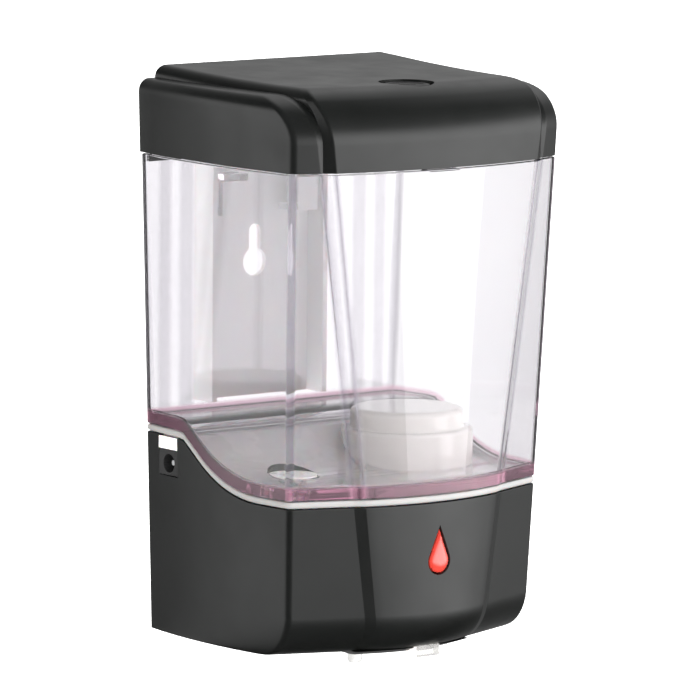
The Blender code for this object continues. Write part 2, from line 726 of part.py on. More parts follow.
def make_lid():
    lid = Shape(loft(open_back(lid_body_rings(0.0, LID_Z - 4.0), 3.0)))
    lid.join(loft(open_back(lid_band_rings(0.0, LID_Z - 5.0), 4.0)))
    lid.cut(loft(open_back(lid_body_rings(WALL, LID_Z - 8.0), 9.0)))
    lid.cut(loft(open_back(lid_band_rings(WALL, LID_Z - 9.0), 10.0)))
    lid.cut(box(-80.0, 80.0, BACK_Y, 20.0, 150.0, 230.0))
    lid.cut(box(-80.0, 80.0, -140.0, 20.0, 150.0, LID_Z))
    for side in (-1, 1):
        web = [(-19.6, HINGE_Z), (-19.6, 203.6), (-14.0, 203.6), (-14.0, HINGE_Z)]
        lid.join(prism_x(web, side * 20.0, side * 30.0))
        ends = sorted((side * 20.0, side * 30.0))
        lid.join(rod(KNUCKLE_R, *ends, (HINGE_Y, HINGE_Z), "X"))
    lid.cut(rod(BORE_R, -33.0, 33.0, (HINGE_Y, HINGE_Z), "X"))
    lid.join(rod(11.0, 192.0, LOCK_RECESS_Z - 0.3, (0.0, LOCK_Y), steps=32))
    lid.cut(rod(LOCK_RECESS_R, LOCK_RECESS_Z, 210.0, (0.0, LOCK_Y), steps=32))
    lid.cut(rod(LOCK_HEAD_R + GAP, LOCK_RECESS_Z - 2.0, 210.0, (0.0, LOCK_Y), steps=32))
    lid.cut(rod(LOCK_BODY_R + GAP, 180.0, 210.0, (0.0, LOCK_Y), steps=32))
    piece("top_lid", lid, "satin_black", at=(0.0, HINGE_Y, HINGE_Z))
    piece("lid_hinge_pin", rod(PIN_R, -30.0, 30.0, (HINGE_Y, HINGE_Z), "X"), "bright_steel")


def make_lock():
    spot = (0.0, LOCK_Y, 0.0)
    low = LOCK_RECESS_Z - 1.7
    top = LOCK_RECESS_Z + 0.8
    profile = [(0.0, 185.0), (LOCK_BODY_R, 185.0), (LOCK_BODY_R, low), (LOCK_HEAD_R, low),
               (LOCK_HEAD_R, top - 0.3), (LOCK_HEAD_R - 0.3, top), (0.0, top)]
    plug = Shape(turned(profile, spot, steps=32))
    slit = box(-3.5, 3.5, -0.65, 0.65, top - 3.0, top + 2.0)
    bmesh.ops.rotate(slit, verts=slit.verts, cent=(0.0, 0.0, 0.0),
                     matrix=Matrix.Rotation(math.radians(-31.0), 3, "Z"))
    for vert in slit.verts:
        vert.co.y += LOCK_Y
    plug.cut(slit)
    plug.cut(rod(1.6, 180.0, 191.0, (0.0, LOCK_Y), steps=16))
    piece("lock_plug", plug, "inner_black", at=spot)
    piece("lock_nut", ring(8.6, LOCK_BODY_R + GAP, 189.3, 191.7, (0.0, LOCK_Y)), "bright_steel")
    cam = Shape(rod(5.4, 182.8, 184.7, (0.0, LOCK_Y)))
    cam.join(box(0.0, 16.6, LOCK_Y - 3.6, LOCK_Y + 3.6, 182.8, 184.7))
    cam.cut(rod(1.6, 180.0, 190.0, (0.0, LOCK_Y), steps=16))
    piece("lock_cam", cam, "bright_steel", at=spot)
    screw_profile = [(0.0, 180.6), (2.8, 180.6), (2.8, 182.5), (1.3, 182.5), (1.3, 190.0), (0.0, 190.0)]
    piece("lock_screw", turned(screw_profile, spot, steps=20), "bright_steel", at=spot)


# ------------------------------------------------------------------ pump

def make_pump():
    spot = (PUMP_X, PUMP_Y, 0.0)
    cup_profile = [(0.0, 17.5), (21.0, 17.5), (21.0, 42.0), (19.0, 42.0), (19.0, 19.5), (0.0, 19.5)]
    housing = Shape(turned(cup_profile, spot, steps=36))
    for side in (-1, 1):
        y = PUMP_Y + side * PUMP_TRACK_R
        housing.cut(box(PUMP_X - 24.0, PUMP_X - 1.0, y - 3.1, y + 3.1, PUMP_TUBE_Z - 3.1, 45.0))
    piece("pump_housing", housing, "white_abs")
    gearbox = Shape(rod(20.0, 42.3, 46.0, (PUMP_X, PUMP_Y), steps=36))
    gearbox.join(box(PUMP_X - 28.0, PUMP_X + 28.0, PUMP_Y - 3.6, PUMP_Y + 3.6, 42.3, 46.0))
    gearbox.cut(rod(2.4, 40.0, 48.0, (PUMP_X, PUMP_Y), steps=16))
    for i, dx in enumerate((-24.5, 24.5)):
        gearbox.cut(rod(1.5, 40.0, 48.0, (PUMP_X + dx, PUMP_Y), steps=16))
        screw = [(0.0, 39.8), (2.6, 39.8), (2.6, 42.0), (1.2, 42.0), (1.2, 53.0), (0.0, 53.0)]
        piece(f"pump_screw_{i + 1}", turned(screw, (PUMP_X + dx, PUMP_Y, 0.0), steps=16),
              "bright_steel")
    piece("gearbox", gearbox, "inner_black")
    motor = [(0.0, 46.3), (13.8, 46.3), (13.8, 74.0), (12.6, 75.2), (4.0, 75.2), (4.0, 76.6), (0.0, 76.6)]
    piece("motor", turned(motor, spot, steps=32), "bright_steel")
    piece("motor_shaft", rod(1.5, 27.0, 46.0, (PUMP_X, PUMP_Y), steps=16), "bright_steel", at=spot)
    make_rotor(spot)


def make_rotor(spot):
    rotor = Shape(rod(3.8, 22.0, 38.0, (PUMP_X, PUMP_Y)))
    for low in (21.0, 36.0):
        rotor.join(rod(11.4, low, low + 2.6, (PUMP_X, PUMP_Y)))
    for i in range(3):
        angle = math.tau * i / 3 + math.radians(20.0)
        x = PUMP_X + ROLLER_ORBIT * math.cos(angle)
        y = PUMP_Y + ROLLER_ORBIT * math.sin(angle)
        rotor.join(rod(1.2, 22.0, 37.0, (x, y), steps=16))
        piece(f"roller_{i + 1}", ring(ROLLER_R, 1.5, 23.9, 35.7, (x, y), steps=24), "silicone",
              at=(x, y, 0.0))
    rotor.cut(rod(1.8, 25.0, 45.0, (PUMP_X, PUMP_Y), steps=16))
    piece("pump_rotor", rotor, "white_abs", at=spot)


def make_tubes():
    z = PUMP_TUBE_Z
    near = PUMP_Y - PUMP_TRACK_R
    far = PUMP_Y + PUMP_TRACK_R
    track = [(1.2, near, z), (8.0, near, z), (16.0, near, z)]
    for i in range(15):
        angle = -math.pi / 2 + math.pi * i / 14
        track.append((PUMP_X + PUMP_TRACK_R * math.cos(angle),
                      PUMP_Y + PUMP_TRACK_R * math.sin(angle), z))
    track += [(16.0, far, z), (8.0, far, z), (1.2, far, z)]
    piece("pump_tube", tube(track, PUMP_TUBE_R), "silicone")
    feed = [(OUTLET_X, OUTLET_Y, 45.6), (OUTLET_X, OUTLET_Y, 41.0), (-31.0, -73.0, 35.0),
            (-24.0, -77.0, 31.0), (-13.0, near, z), (-5.0, near, z), (0.8, near, z)]
    piece("feed_tube", tube(smooth_path(feed, 4), 3.6), "silicone")
    outlet = [(0.8, far, z), (-4.0, far, z), (-10.0, -49.5, 29.0), (-13.0, -55.5, 26.5),
              (-9.0, -61.8, 23.5), (-2.2, -64.8, 21.0), (0.0, NOZZLE_Y, 17.6), (0.0, NOZZLE_Y, 14.4)]
    piece("outlet_tube", tube(smooth_path(outlet, 4), 2.8), "silicone")
    nozzle = [(2.8, NOZZLE_TIP_Z + 1.0), (2.8, 14.0), (1.4, 14.0), (1.4, NOZZLE_TIP_Z), (2.2, NOZZLE_TIP_Z)]
    piece("nozzle", turned(nozzle, (0.0, NOZZLE_Y, 0.0), steps=20), "silicone")
    piece("nozzle_collar", ring(6.0, 3.1, -2.6, 4.6, (0.0, NOZZLE_Y)), "inner_black")


# ------------------------------------------------------------------ power

def make_battery_bay():
    holder = Shape(box(-31.6, 31.6, CELL_Y - 8.9, CELL_Y + 8.9, 4.6, 62.4))
    holder.cut(box(-30.1, 30.1, CELL_Y - 7.5, CELL_Y + 7.5, -1.0, 60.6))
    piece("battery_holder", holder, "inner_black")
    for i in range(4):
        x = (i - 1.5) * CELL_PITCH
        upward = i % 2 == 1
        make_cell(i + 1, x, upward)
    for i, x in enumerate((-CELL_PITCH, CELL_PITCH)):
        piece(f"top_contact_{i + 1}", box(x - 13.4, x + 13.4, CELL_Y - 5.0, CELL_Y + 5.0, 59.9, 60.3),
              "nickel")
        piece(f"door_contact_{i + 1}", box(x - 13.4, x + 13.4, CELL_Y - 5.0, CELL_Y + 5.0, 2.6, 3.0),
              "nickel")


def make_cell(number, x, upward):
    """AA cell standing in the bay, with its contact spring at the flat end."""
    nub_first = [(0.0, 0.0), (2.7, 0.0), (2.7, 1.2), (CELL_R - 0.5, 1.2), (CELL_R, 1.7),
                 (CELL_R, 49.9), (CELL_R - 0.5, 50.4), (0.0, 50.4)]
    low = 3.3
    profile = [(r, low + h) for r, h in nub_first]
    spring_z = (54.0, 59.6)
    if upward:
        low = 8.9
        profile = [(r, low + 50.4 - h) for r, h in reversed(nub_first)]
        spring_z = (3.3, 8.6)
    piece(f"battery_{number}", turned(profile, (x, CELL_Y, 0.0), steps=24), "cell_jacket")
    wire = 0.4
    turns = 3.0
    points = []
    count = 24
    for i in range(count + 1):
        part = i / count
        angle = math.tau * turns * part
        radius = 3.4
        height = spring_z[0] + wire + (spring_z[1] - spring_z[0] - 2 * wire) * part
        points.append((x + radius * math.cos(angle), CELL_Y + radius * math.sin(angle), height))
    piece(f"battery_spring_{number}", tube(points, wire, 5), "nickel")


def make_battery_door():
    spot = (0.0, DOOR_PIN_Y, DOOR_PIN_Z)
    door = Shape(box(-32.7, 32.7, -38.6, DOOR_PIN_Y, 0.0, 2.2))
    door.join(rod(1.8, -32.7, 32.7, (DOOR_PIN_Y, DOOR_PIN_Z), "X", 16))
    door.cut(rod(1.1, -35.0, 35.0, (DOOR_PIN_Y, DOOR_PIN_Z), "X", 16))
    piece("battery_door", door, "satin_black", at=spot)
    piece("door_pin", rod(0.8, -36.2, 36.2, (DOOR_PIN_Y, DOOR_PIN_Z), "X", 12), "bright_steel")


def make_power_inlet():
    jack = Shape(box(-57.4, -46.0, JACK_Y - 5.9, JACK_Y + 5.9, 58.2, 67.4))
    jack.cut(rod(3.4, -70.0, -48.0, (JACK_Y, JACK_Z), "X"))
    piece("dc_jack", jack, "inner_black")
    piece("jack_pin", rod(1.0, -55.5, -48.3, (JACK_Y, JACK_Z), "X", 12), "bright_steel")
    body = box(SWITCH_X - 5.4, SWITCH_X + 8.0, SWITCH_Y - 3.6, SWITCH_Y + 3.6, 2.8, 8.6)
    piece("switch_body", body, "inner_black")
    knob = box(SWITCH_X - 2.5, SWITCH_X + 2.5, SWITCH_Y - 1.2, SWITCH_Y + 1.2, -1.9, 2.4)
    piece("switch_knob", knob, "inner_black", at=(SWITCH_X, SWITCH_Y, 0.0))


# ------------------------------------------------------------------ electronics

def make_electronics():
    piece("main_pcb", box(-49.5, -47.9, -66.0, -30.0, 10.0, 50.0), "board_green")
    piece("pcb_chip", box(-47.6, -45.8, -58.0, -48.0, 24.0, 34.0), "chip_black")
    piece("sensor_pcb", box(-8.0, 16.0, -104.2, -92.0, 7.4, 9.0), "board_green")
    for name, x in (("ir_emitter", 0.2), ("ir_receiver", 5.0)):
        lamp = [(0.0, 1.6), (0.9, 1.8), (1.5, 2.8), (1.5, 7.1), (0.0, 7.1)]
        piece(name, turned(lamp, (x, -101.5, 0.0), steps=16), "smoke_lens")
    piece("sensor_window", box(-2.6, 7.8, -104.5, -98.5, -2.9, 1.2), "smoke_lens")
    piece("led_pcb", box(-8.0, 8.0, -104.6, -103.0, 24.0, 46.0), "board_green")
    piece("status_led", rod(2.5, -110.6, -104.9, (0.0, 34.5), "Y"), "red_lens")
    piece("drop_window", drop_prism(0.0, -114.5, -111.4), "red_lens")


def make_base_screws():
    for i, (x, y) in enumerate(screw_posts()):
        profile = [(0.0, 0.7), (3.0, 0.7), (3.0, 2.7), (1.4, 2.7), (1.4, 18.0), (0.0, 18.0)]
        screw = Shape(turned(profile, (x, y, 0.0), steps=16))
        screw.cut(box(x - 2.0, x + 2.0, y - 0.35, y + 0.35, 0.0, 1.6))
        screw.cut(box(x - 0.35, x + 0.35, y - 2.0, y + 2.0, 0.0, 1.6))
        piece(f"base_screw_{i + 1}", screw, "bright_steel")


make_wall_plate()
make_tank()
make_rim_seal()
make_chassis()
make_inlet_filter()
make_base_shell()
make_lid()
make_lock()
make_pump()
make_tubes()
make_battery_bay()
make_battery_door()
make_power_inlet()
make_electronics()
make_base_screws()
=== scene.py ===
"""Looks of the wall mounted soap dispenser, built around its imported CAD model.

Lengths are design millimetres: +X to the user's right, the wall is the plane y = 0, the user
stands at -Y and z = 0 is the underside of the base, whose height in the frame is FLOOR_Z.
"""
import json
import math

import bmesh
import bpy
from mathutils import Matrix, Vector
from mathutils.kdtree import KDTree


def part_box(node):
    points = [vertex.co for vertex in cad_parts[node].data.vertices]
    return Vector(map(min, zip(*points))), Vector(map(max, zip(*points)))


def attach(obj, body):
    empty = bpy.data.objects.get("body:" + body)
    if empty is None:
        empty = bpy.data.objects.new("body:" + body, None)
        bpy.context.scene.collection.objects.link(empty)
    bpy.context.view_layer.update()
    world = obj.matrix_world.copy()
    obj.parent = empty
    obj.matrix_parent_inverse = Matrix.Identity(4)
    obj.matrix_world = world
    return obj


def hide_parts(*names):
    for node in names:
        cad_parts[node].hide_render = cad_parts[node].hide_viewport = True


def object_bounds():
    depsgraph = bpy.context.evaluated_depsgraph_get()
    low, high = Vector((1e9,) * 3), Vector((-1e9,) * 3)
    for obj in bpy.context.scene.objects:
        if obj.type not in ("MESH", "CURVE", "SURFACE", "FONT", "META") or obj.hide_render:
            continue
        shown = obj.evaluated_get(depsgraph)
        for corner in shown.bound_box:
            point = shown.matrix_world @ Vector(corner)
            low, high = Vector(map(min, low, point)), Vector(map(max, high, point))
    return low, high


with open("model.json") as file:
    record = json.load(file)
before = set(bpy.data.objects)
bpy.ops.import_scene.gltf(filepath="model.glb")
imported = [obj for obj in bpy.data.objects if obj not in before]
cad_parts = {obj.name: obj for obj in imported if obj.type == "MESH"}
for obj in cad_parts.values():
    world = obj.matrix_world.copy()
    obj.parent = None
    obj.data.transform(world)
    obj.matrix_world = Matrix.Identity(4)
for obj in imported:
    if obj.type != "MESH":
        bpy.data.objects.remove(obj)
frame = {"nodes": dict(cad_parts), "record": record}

cad_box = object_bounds()
MM = 0.001
SKID_DROP = 1.6
FLOOR_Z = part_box("base_shell")[0].z / MM + SKID_DROP

# ---- plan outline: each value is (at z = 0, change per mm of height) ----
BACK_Y = -13.2
SIDE_X = (54.15, 0.0307)
SIDE_BOW = 2.76
CORNER_Y = (-96.0, -0.0459)
FOLD_X = (25.8, 0.1376)
FOLD_Y = (-106.8, -0.0067)
STEP_X = (22.55, 0.130)
STEP_Y = (-108.7, -0.0133)
NOSE_Y = (-113.54, -0.0158)
SIDE_STEPS = 20
BAND_STEPS = 8
CORNER_R = 5.0
BACK_R = 2.0
FOLD_R = 1.8
STEP_R = 1.8
BACK_START_X = 20.0    # half of the back's middle stretch, which has no points of its own
BACK_LINES = (35.0, 36.2, 41.1, 42.3, 45.3, 46.4, 50.2, 51.4)   # where two painted lines of shade on the tank's back start and fade, standing in for rear edges seen through the clear plastic
LINE_W = 1.8           # reach of the painted shade line along each fold of the clear tank
CORNER_LINE_W = 1.2    # reach of the painted shade line past the rounding of the back corners

# ---- walls and levels ----
WALL = 2.2
BASE_FLOOR = 2.4
FOOT_R = 14.8
SKID_BACK_Y = -43.0
REAR_EDGE_Z = 72.5
FRONT_EDGE_Z = 54.4
EDGE_ARC_R = 57.6
EDGE_ARC_Y = -82.5
EDGE_SLOPE = math.radians(35.0)
EDGE_TOP_R = 6.0
GAP = 0.3
SEAL_H = 2.3
TANK_FLOOR = 3.6
TANK_START = GAP + SEAL_H + GAP
TANK_TOP_Z = 173.6
TANK_EDGE_R = 0.5
FOOT_H = 4.2           # height of the rosy foot of the tank's walls, beside its thick floor
FOOT_FADE = 1.6        # height over which that foot fades out
LID_Z = 174.1

# ---- lid ----
LID_SHOULDER_Z = 200.6
LID_SHOULDER_W = 4.6
LID_SHOULDER_H = 4.8
LID_ARC_Z = 184.0
LID_FRONT_R = 25.0
LID_FRONT_H = LID_SHOULDER_Z - LID_ARC_Z
BAND_TOP_Z = 205.2
BAND_ARC_Z = 184.0
BAND_FRONT_R = 20.0
BAND_FRONT_H = BAND_TOP_Z - BAND_ARC_Z
BAND_EDGE_W = 5.0
BAND_EDGE_H = 4.0
BODY_DROOP = 0.4
BAND_DROOP = 2.6
DROOP_DEPTH = 79.0
TOP_HALF_FOLD = 49.5
TOP_HALF_BACK = 53.4
HINGE_Y = -16.8
HINGE_Z = 197.0
KNUCKLE_R = 3.3
KNUCKLE_HALF = 19.5
BORE_R = 1.65
LOCK_Y = -92.0
LOCK_Z = 201.1
LOCK_RECESS_R = 10.0
LOCK_HEAD_R = 8.6
LOCK_BODY_R = 6.0

# ---- pump side ----
PUMP = (24.0, -63.1, 0.0)
DOME_R = 24.0
DOME_RIM_Z = 73.9
DOME_TOP_R = 20.6
DOME_TOP_Z = 81.1
OUTLET = (-33.0, -71.0, 0.0)
NOZZLE = (0.0, -65.0, 0.0)
BASE_SCREWS = ((-41.0, -22.0), (41.0, -22.0), (-47.0, -79.0), (47.0, -79.0))

# ---- wall plate ----
PLATE_HALF = 25.6
PLATE_T = 2.2
PLATE_BOTTOM_Z = 80.1
PLATE_TOP_Z = 170.0
FLANGE_Y = -11.6
HOOK_X = 15.85
HOOK_HALF = 5.25
HOOK_Z = 148.2
HOOK_TOP_Z = 160.7
LUG_HALF = 4.4
KEYHOLE_Z = 129.3
KEYHOLE_R = 5.2
KEYSLOT_R = 2.6
KEYSLOT_TOP_Z = 140.7


# ------------------------------------------------------------------ solids in design millimetres

def scratch_object(bm):
    """Linked object that holds a shape while a Boolean runs, and frees the shape."""
    mesh = bpy.data.meshes.new("scratch")
    bmesh.ops.recalc_face_normals(bm, faces=bm.faces)
    bm.to_mesh(mesh)
    bm.free()
    obj = bpy.data.objects.new("scratch", mesh)
    bpy.context.scene.collection.objects.link(obj)
    return obj


def combine(bm, tool, operation):
    """Exact Boolean of two shapes."""
    body = scratch_object(bm)
    cutter = scratch_object(tool)
    boolean = body.modifiers.new("boolean", "BOOLEAN")
    boolean.operation = operation
    boolean.solver = "EXACT"
    boolean.object = cutter
    result = bmesh.new()
    result.from_object(body, bpy.context.evaluated_depsgraph_get())
    for obj in (body, cutter):
        bpy.data.objects.remove(obj, do_unlink=True)
    bmesh.ops.remove_doubles(result, verts=result.verts, dist=0.004)
    bmesh.ops.dissolve_degenerate(result, edges=result.edges, dist=0.002)
    return result


class Shape:
    """A solid that other solids are joined to and cut from."""

    def __init__(self, bm):
        self.bm = bm

    def join(self, tool):
        self.bm = combine(self.bm, tool, "UNION")

    def cut(self, tool):
        self.bm = combine(self.bm, tool, "DIFFERENCE")


def piece(name, shape, skin, body, nodes, sharp=30.0, bevel=0.0):
    """Turn a solid into a visible piece that rides on a CAD body and stands for CAD nodes."""
    bm = shape.bm if isinstance(shape, Shape) else shape
    bmesh.ops.recalc_face_normals(bm, faces=bm.faces)
    for vert in bm.verts:
        vert.co = Vector((vert.co.x, vert.co.y, vert.co.z + FLOOR_Z)) * MM
    mesh = bpy.data.meshes.new(name)
    bm.to_mesh(mesh)
    bm.free()
    obj = bpy.data.objects.new(name, mesh)
    bpy.context.scene.collection.objects.link(obj)
    mesh.materials.append(skin)
    mesh.shade_smooth()
    mesh.set_sharp_from_angle(angle=math.radians(sharp))
    if bevel:
        edge = obj.modifiers.new("edges", "BEVEL")
        edge.width = bevel * MM
        edge.segments = 2
        edge.limit_method = "ANGLE"
        edge.angle_limit = math.radians(40.0)
        edge.harden_normals = True
    normals = obj.modifiers.new("normals", "WEIGHTED_NORMAL")
    normals.keep_sharp = True
    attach(obj, body)
    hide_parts(*nodes)
    return obj


def box(x0, x1, y0, y1, z0, z1):
    """Block between two corners, given in any order."""
    bm = bmesh.new()
    bmesh.ops.create_cube(bm, size=1.0)
    low = (min(x0, x1), min(y0, y1), min(z0, z1))
    high = (max(x0, x1), max(y0, y1), max(z0, z1))
    for vert in bm.verts:
        vert.co = [l + (c + 0.5) * (h - l) for c, l, h in zip(vert.co, low, high)]
    return bm


def place(bm, axis, centre):
    """Turn a shape made along +Z so that it lies along an axis, then move it to its centre."""
    for vert in bm.verts:
        x, y, z = vert.co
        turned_co = {"Z": (x, y, z), "X": (z, x, y), "Y": (x, z, -y)}[axis]
        vert.co = [a + b for a, b in zip(turned_co, centre)]
    return bm


def turned(profile, centre=(0.0, 0.0, 0.0), axis="Z", steps=64):
    """Solid of revolution from (radius, height) points; a profile off the axis closes on itself."""
    bm = bmesh.new()
    rings = []
    for radius, height in profile:
        if radius == 0.0:
            rings.append([bm.verts.new((0.0, 0.0, height))])
            continue
        ring = []
        for step in range(steps):
            angle = math.tau * step / steps
            ring.append(bm.verts.new((radius * math.cos(angle), radius * math.sin(angle), height)))
        rings.append(ring)
    pairs = list(zip(rings, rings[1:]))
    if profile[0][0] != 0.0:
        pairs.append((rings[-1], rings[0]))
    for lower, upper in pairs:
        for step in range(steps):
            after = (step + 1) % steps
            corners = [lower[step % len(lower)], lower[after % len(lower)],
                       upper[after % len(upper)], upper[step % len(upper)]]
            bm.faces.new(list(dict.fromkeys(corners)))
    return place(bm, axis, centre)


def rod(radius, start, end, centre=(0.0, 0.0), axis="Z", steps=48, chamfer=0.0):
    """Cylinder from start to end along an axis; centre holds the other two coordinates."""
    spots = {"Z": (*centre, 0.0), "X": (0.0, *centre), "Y": (centre[0], 0.0, centre[1])}
    profile = [(0.0, start), (radius, start), (radius, end), (0.0, end)]
    if chamfer:
        profile = [(0.0, start), (radius - chamfer, start), (radius, start + chamfer),
                   (radius, end - chamfer), (radius - chamfer, end), (0.0, end)]
    return turned(profile, spots[axis], axis, steps)


def prism_x(points, x0, x1):
    """Prism along X over a (y, z) polygon."""
    bm = bmesh.new()
    ends = [[bm.verts.new((x, y, z)) for y, z in points] for x in (x0, x1)]
    bm.faces.new(ends[0])
    bm.faces.new(ends[1])
    count = len(points)
    for i in range(count):
        j = (i + 1) % count
        bm.faces.new([ends[0][i], ends[0][j], ends[1][j], ends[1][i]])
    return bm


# ------------------------------------------------------------------ the dispenser's outline

def at_height(rule, z):
    """Value at height z of a rule (value at z = 0, change per mm)."""
    return rule[0] + rule[1] * z


def edge_z(y):
    """Height of the base's top edge: high at the back, an S down to the low front."""
    arc_end_y = EDGE_ARC_Y + EDGE_ARC_R * math.sin(EDGE_SLOPE)
    arc_end_z = FRONT_EDGE_Z + EDGE_ARC_R * (1.0 - math.cos(EDGE_SLOPE))
    if y <= EDGE_ARC_Y:
        return FRONT_EDGE_Z
    if y <= arc_end_y:
        drop = math.sqrt(EDGE_ARC_R ** 2 - (y - EDGE_ARC_Y) ** 2)
        return FRONT_EDGE_Z + EDGE_ARC_R - drop
    meet_y = arc_end_y + (REAR_EDGE_Z - arc_end_z) / math.tan(EDGE_SLOPE)
    tangent = EDGE_TOP_R * math.tan(EDGE_SLOPE / 2.0)
    round_start = meet_y - tangent * math.cos(EDGE_SLOPE)
    if y <= round_start:
        return arc_end_z + (y - arc_end_y) * math.tan(EDGE_SLOPE)
    if y >= meet_y + tangent:
        return REAR_EDGE_Z
    return REAR_EDGE_Z - EDGE_TOP_R + math.sqrt(EDGE_TOP_R ** 2 - (meet_y + tangent - y) ** 2)


def fillet(corners, steps):
    """Round the corners of a closed outline of (x, y, radius); radius 0 keeps the point."""
    points = []
    for i, (x, y, radius) in enumerate(corners):
        if radius == 0.0:
            points.append((x, y))
            continue
        spot = Vector((x, y))
        before = Vector(corners[i - 1][:2]) - spot
        after = Vector(corners[(i + 1) % len(corners)][:2]) - spot
        angle = before.angle(after)
        reach = min(radius / math.tan(angle / 2.0), 0.48 * before.length, 0.48 * after.length)
        start = spot + before.normalized() * reach
        end = spot + after.normalized() * reach
        for step in range(steps + 1):
            t = step / steps
            point = start * (1 - t) ** 2 + spot * 2 * t * (1 - t) + end * t ** 2
            points.append((point.x, point.y))
    return points


def between(start, end, distance):
    """Plain outline point this far along the line from start to end."""
    along = distance / math.hypot(end[0] - start[0], end[1] - start[1])
    return (start[0] + (end[0] - start[0]) * along, start[1] + (end[1] - start[1]) * along, 0.0)


def side_points(side_x, corner_y):
    """Points of the left side wall, which bows out between its back and front corners."""
    points = []
    for step in range(1, SIDE_STEPS):
        depth = step / SIDE_STEPS
        bow = SIDE_BOW * (1.0 - (2.0 * depth - 1.0) ** 2)
        points.append((-(side_x + bow), BACK_Y + depth * (corner_y - BACK_Y), 0.0))
    return points


def band_points(z, pull, fold):
    """Left half of the raised centre band: from the fold over the step to the nose."""
    step_x = at_height(STEP_X, z)
    step_y = at_height(STEP_Y, z) + pull
    nose_y = at_height(NOSE_Y, z) + pull
    step = (-step_x, step_y)
    points = [between(step, fold, LINE_W), (*step, STEP_R),
              between(step, (0.0, 2.0 * nose_y - step_y), LINE_W)]
    for i in range(1, BAND_STEPS + 1):
        across = 1.0 - i / BAND_STEPS
        points.append((-step_x * across, nose_y + (step_y - nose_y) * across ** 2, 0.0))
    return points


def half_plan(z, pull=0.0, squeeze=0.0, band=True):
    """Left half of the outline at height z, from the back centre to the front centre.

    pull moves the front in, squeeze the sides; band adds the raised centre band and the points that bound
    the painted shade lines.
    """
    side_x = at_height(SIDE_X, z) - squeeze
    corner_y = at_height(CORNER_Y, z) + pull
    fold = (-min(at_height(FOLD_X, z), side_x - 1.0), at_height(FOLD_Y, z) + pull)
    side = side_points(side_x, corner_y)
    back_corner = (-side_x, BACK_Y, BACK_R)
    corners = [(-BACK_START_X, BACK_Y, 0.0)]
    if band:
        corners += [(-x, BACK_Y, 0.0) for x in BACK_LINES]
        corners += [back_corner, between(back_corner, side[0], BACK_R + CORNER_LINE_W)]
    else:
        corners.append(back_corner)
    corners += side
    corners += [(-side_x, corner_y, CORNER_R), between(fold, (-side_x, corner_y), LINE_W), (*fold, FOLD_R)]
    if band:
        return corners + band_points(z, pull, fold)
    return corners + [(0.0, fold[1], 0.0)]


def inset_corners(corners, distance):
    """Move a closed outline inwards by a distance, and fit its corner radii to that."""
    count = len(corners)
    moved = []
    for i, (x, y, radius) in enumerate(corners):
        normals = []
        for a, b in ((corners[i - 1], corners[i]), (corners[i], corners[(i + 1) % count])):
            length = math.hypot(b[0] - a[0], b[1] - a[1])
            normals.append(((a[1] - b[1]) / length, (b[0] - a[0]) / length))
        (ax, ay), (bx, by) = normals
        scale = 2.0 * distance / ((ax + bx) ** 2 + (ay + by) ** 2)
        hollow = ax * by - ay * bx < 0.0
        if radius:
            radius = radius + distance if hollow else max(radius - distance, 0.25)
        moved.append((x + (ax + bx) * scale, y + (ay + by) * scale, radius))
    return moved


def full_ring(half, inset=0.0):
    """Mirror half an outline, inset it and round its corners."""
    right = [(-x, y, radius) for x, y, radius in reversed(half[:-1])]
    corners = list(half) + right
    if inset:
        corners = inset_corners(corners, inset)
    return fillet(corners, 6)


def wall_ring(height, inset=0.0, pull=0.0):
    """Outline at a height that is a number or a function of y, on the tapering walls."""
    low = full_ring(half_plan(0.0, pull), inset)
    high = full_ring(half_plan(100.0, pull), inset)
    ring = []
    for (x0, y0), (x1, y1) in zip(low, high):
        z = 60.0
        for _ in range(3):
            z = height(y0 + (y1 - y0) * z / 100.0) if callable(height) else height
        part = z / 100.0
        ring.append((x0 + (x1 - x0) * part, y0 + (y1 - y0) * part, z))
    return ring


def add_wall(bm, rings):
    """Faces between each ring and the next."""
    for lower, upper in zip(rings, rings[1:]):
        count = len(lower)
        for i in range(count):
            j = (i + 1) % count
            bm.faces.new([lower[i], lower[j], upper[j], upper[i]])


def add_cap(bm, loop):
    """Close a mirrored ring with strips that run from side to side."""
    count = len(loop)
    for i in range(count // 2):
        corners = [loop[i], loop[i + 1], loop[count - 2 - i], loop[count - 1 - i]]
        bm.faces.new(list(dict.fromkeys(corners)))


def loft(rings, closed=False):
    """Solid through rings, capped at both ends, or closed on itself like a tyre."""
    bm = bmesh.new()
    loops = [[bm.verts.new(p) for p in points] for points in rings]
    if closed:
        add_wall(bm, loops + loops[:1])
        return bm
    add_wall(bm, loops)
    add_cap(bm, loops[0])
    add_cap(bm, loops[-1])
    return bm


def quarter(steps=4):
    """(along, across) fractions of a quarter round, from its start to its end."""
    turns = [math.pi / 2 * i / steps for i in range(steps + 1)]
    return [(math.sin(t), 1.0 - math.cos(t)) for t in turns]


def edge_at(offset):
    """Height rule that follows the base's top edge at an offset."""
    return lambda y: edge_z(y) + offset


def tank_rings():
    """Rings of the tank: up the outside, over its rounded rim and down the inside."""
    edge_r = TANK_EDGE_R
    inner_r = 2.0
    rings = []
    for along, across in quarter():
        rings.append(wall_ring(edge_at(TANK_START + edge_r * across), edge_r * (1.0 - along)))
    for height in (FOOT_H, FOOT_H + FOOT_FADE):
        rings.append(wall_ring(edge_at(TANK_START + height)))
    for along, across in quarter():
        rings.append(wall_ring(TANK_TOP_Z - edge_r * (1.0 - along), edge_r * across))
    for along, across in reversed(quarter()):
        rings.append(wall_ring(TANK_TOP_Z - edge_r * (1.0 - along), WALL - edge_r * across))
    for along, across in reversed(quarter()):
        rings.append(wall_ring(edge_at(TANK_START + TANK_FLOOR + inner_r * across),
                               WALL + inner_r * (1.0 - along)))
    return rings


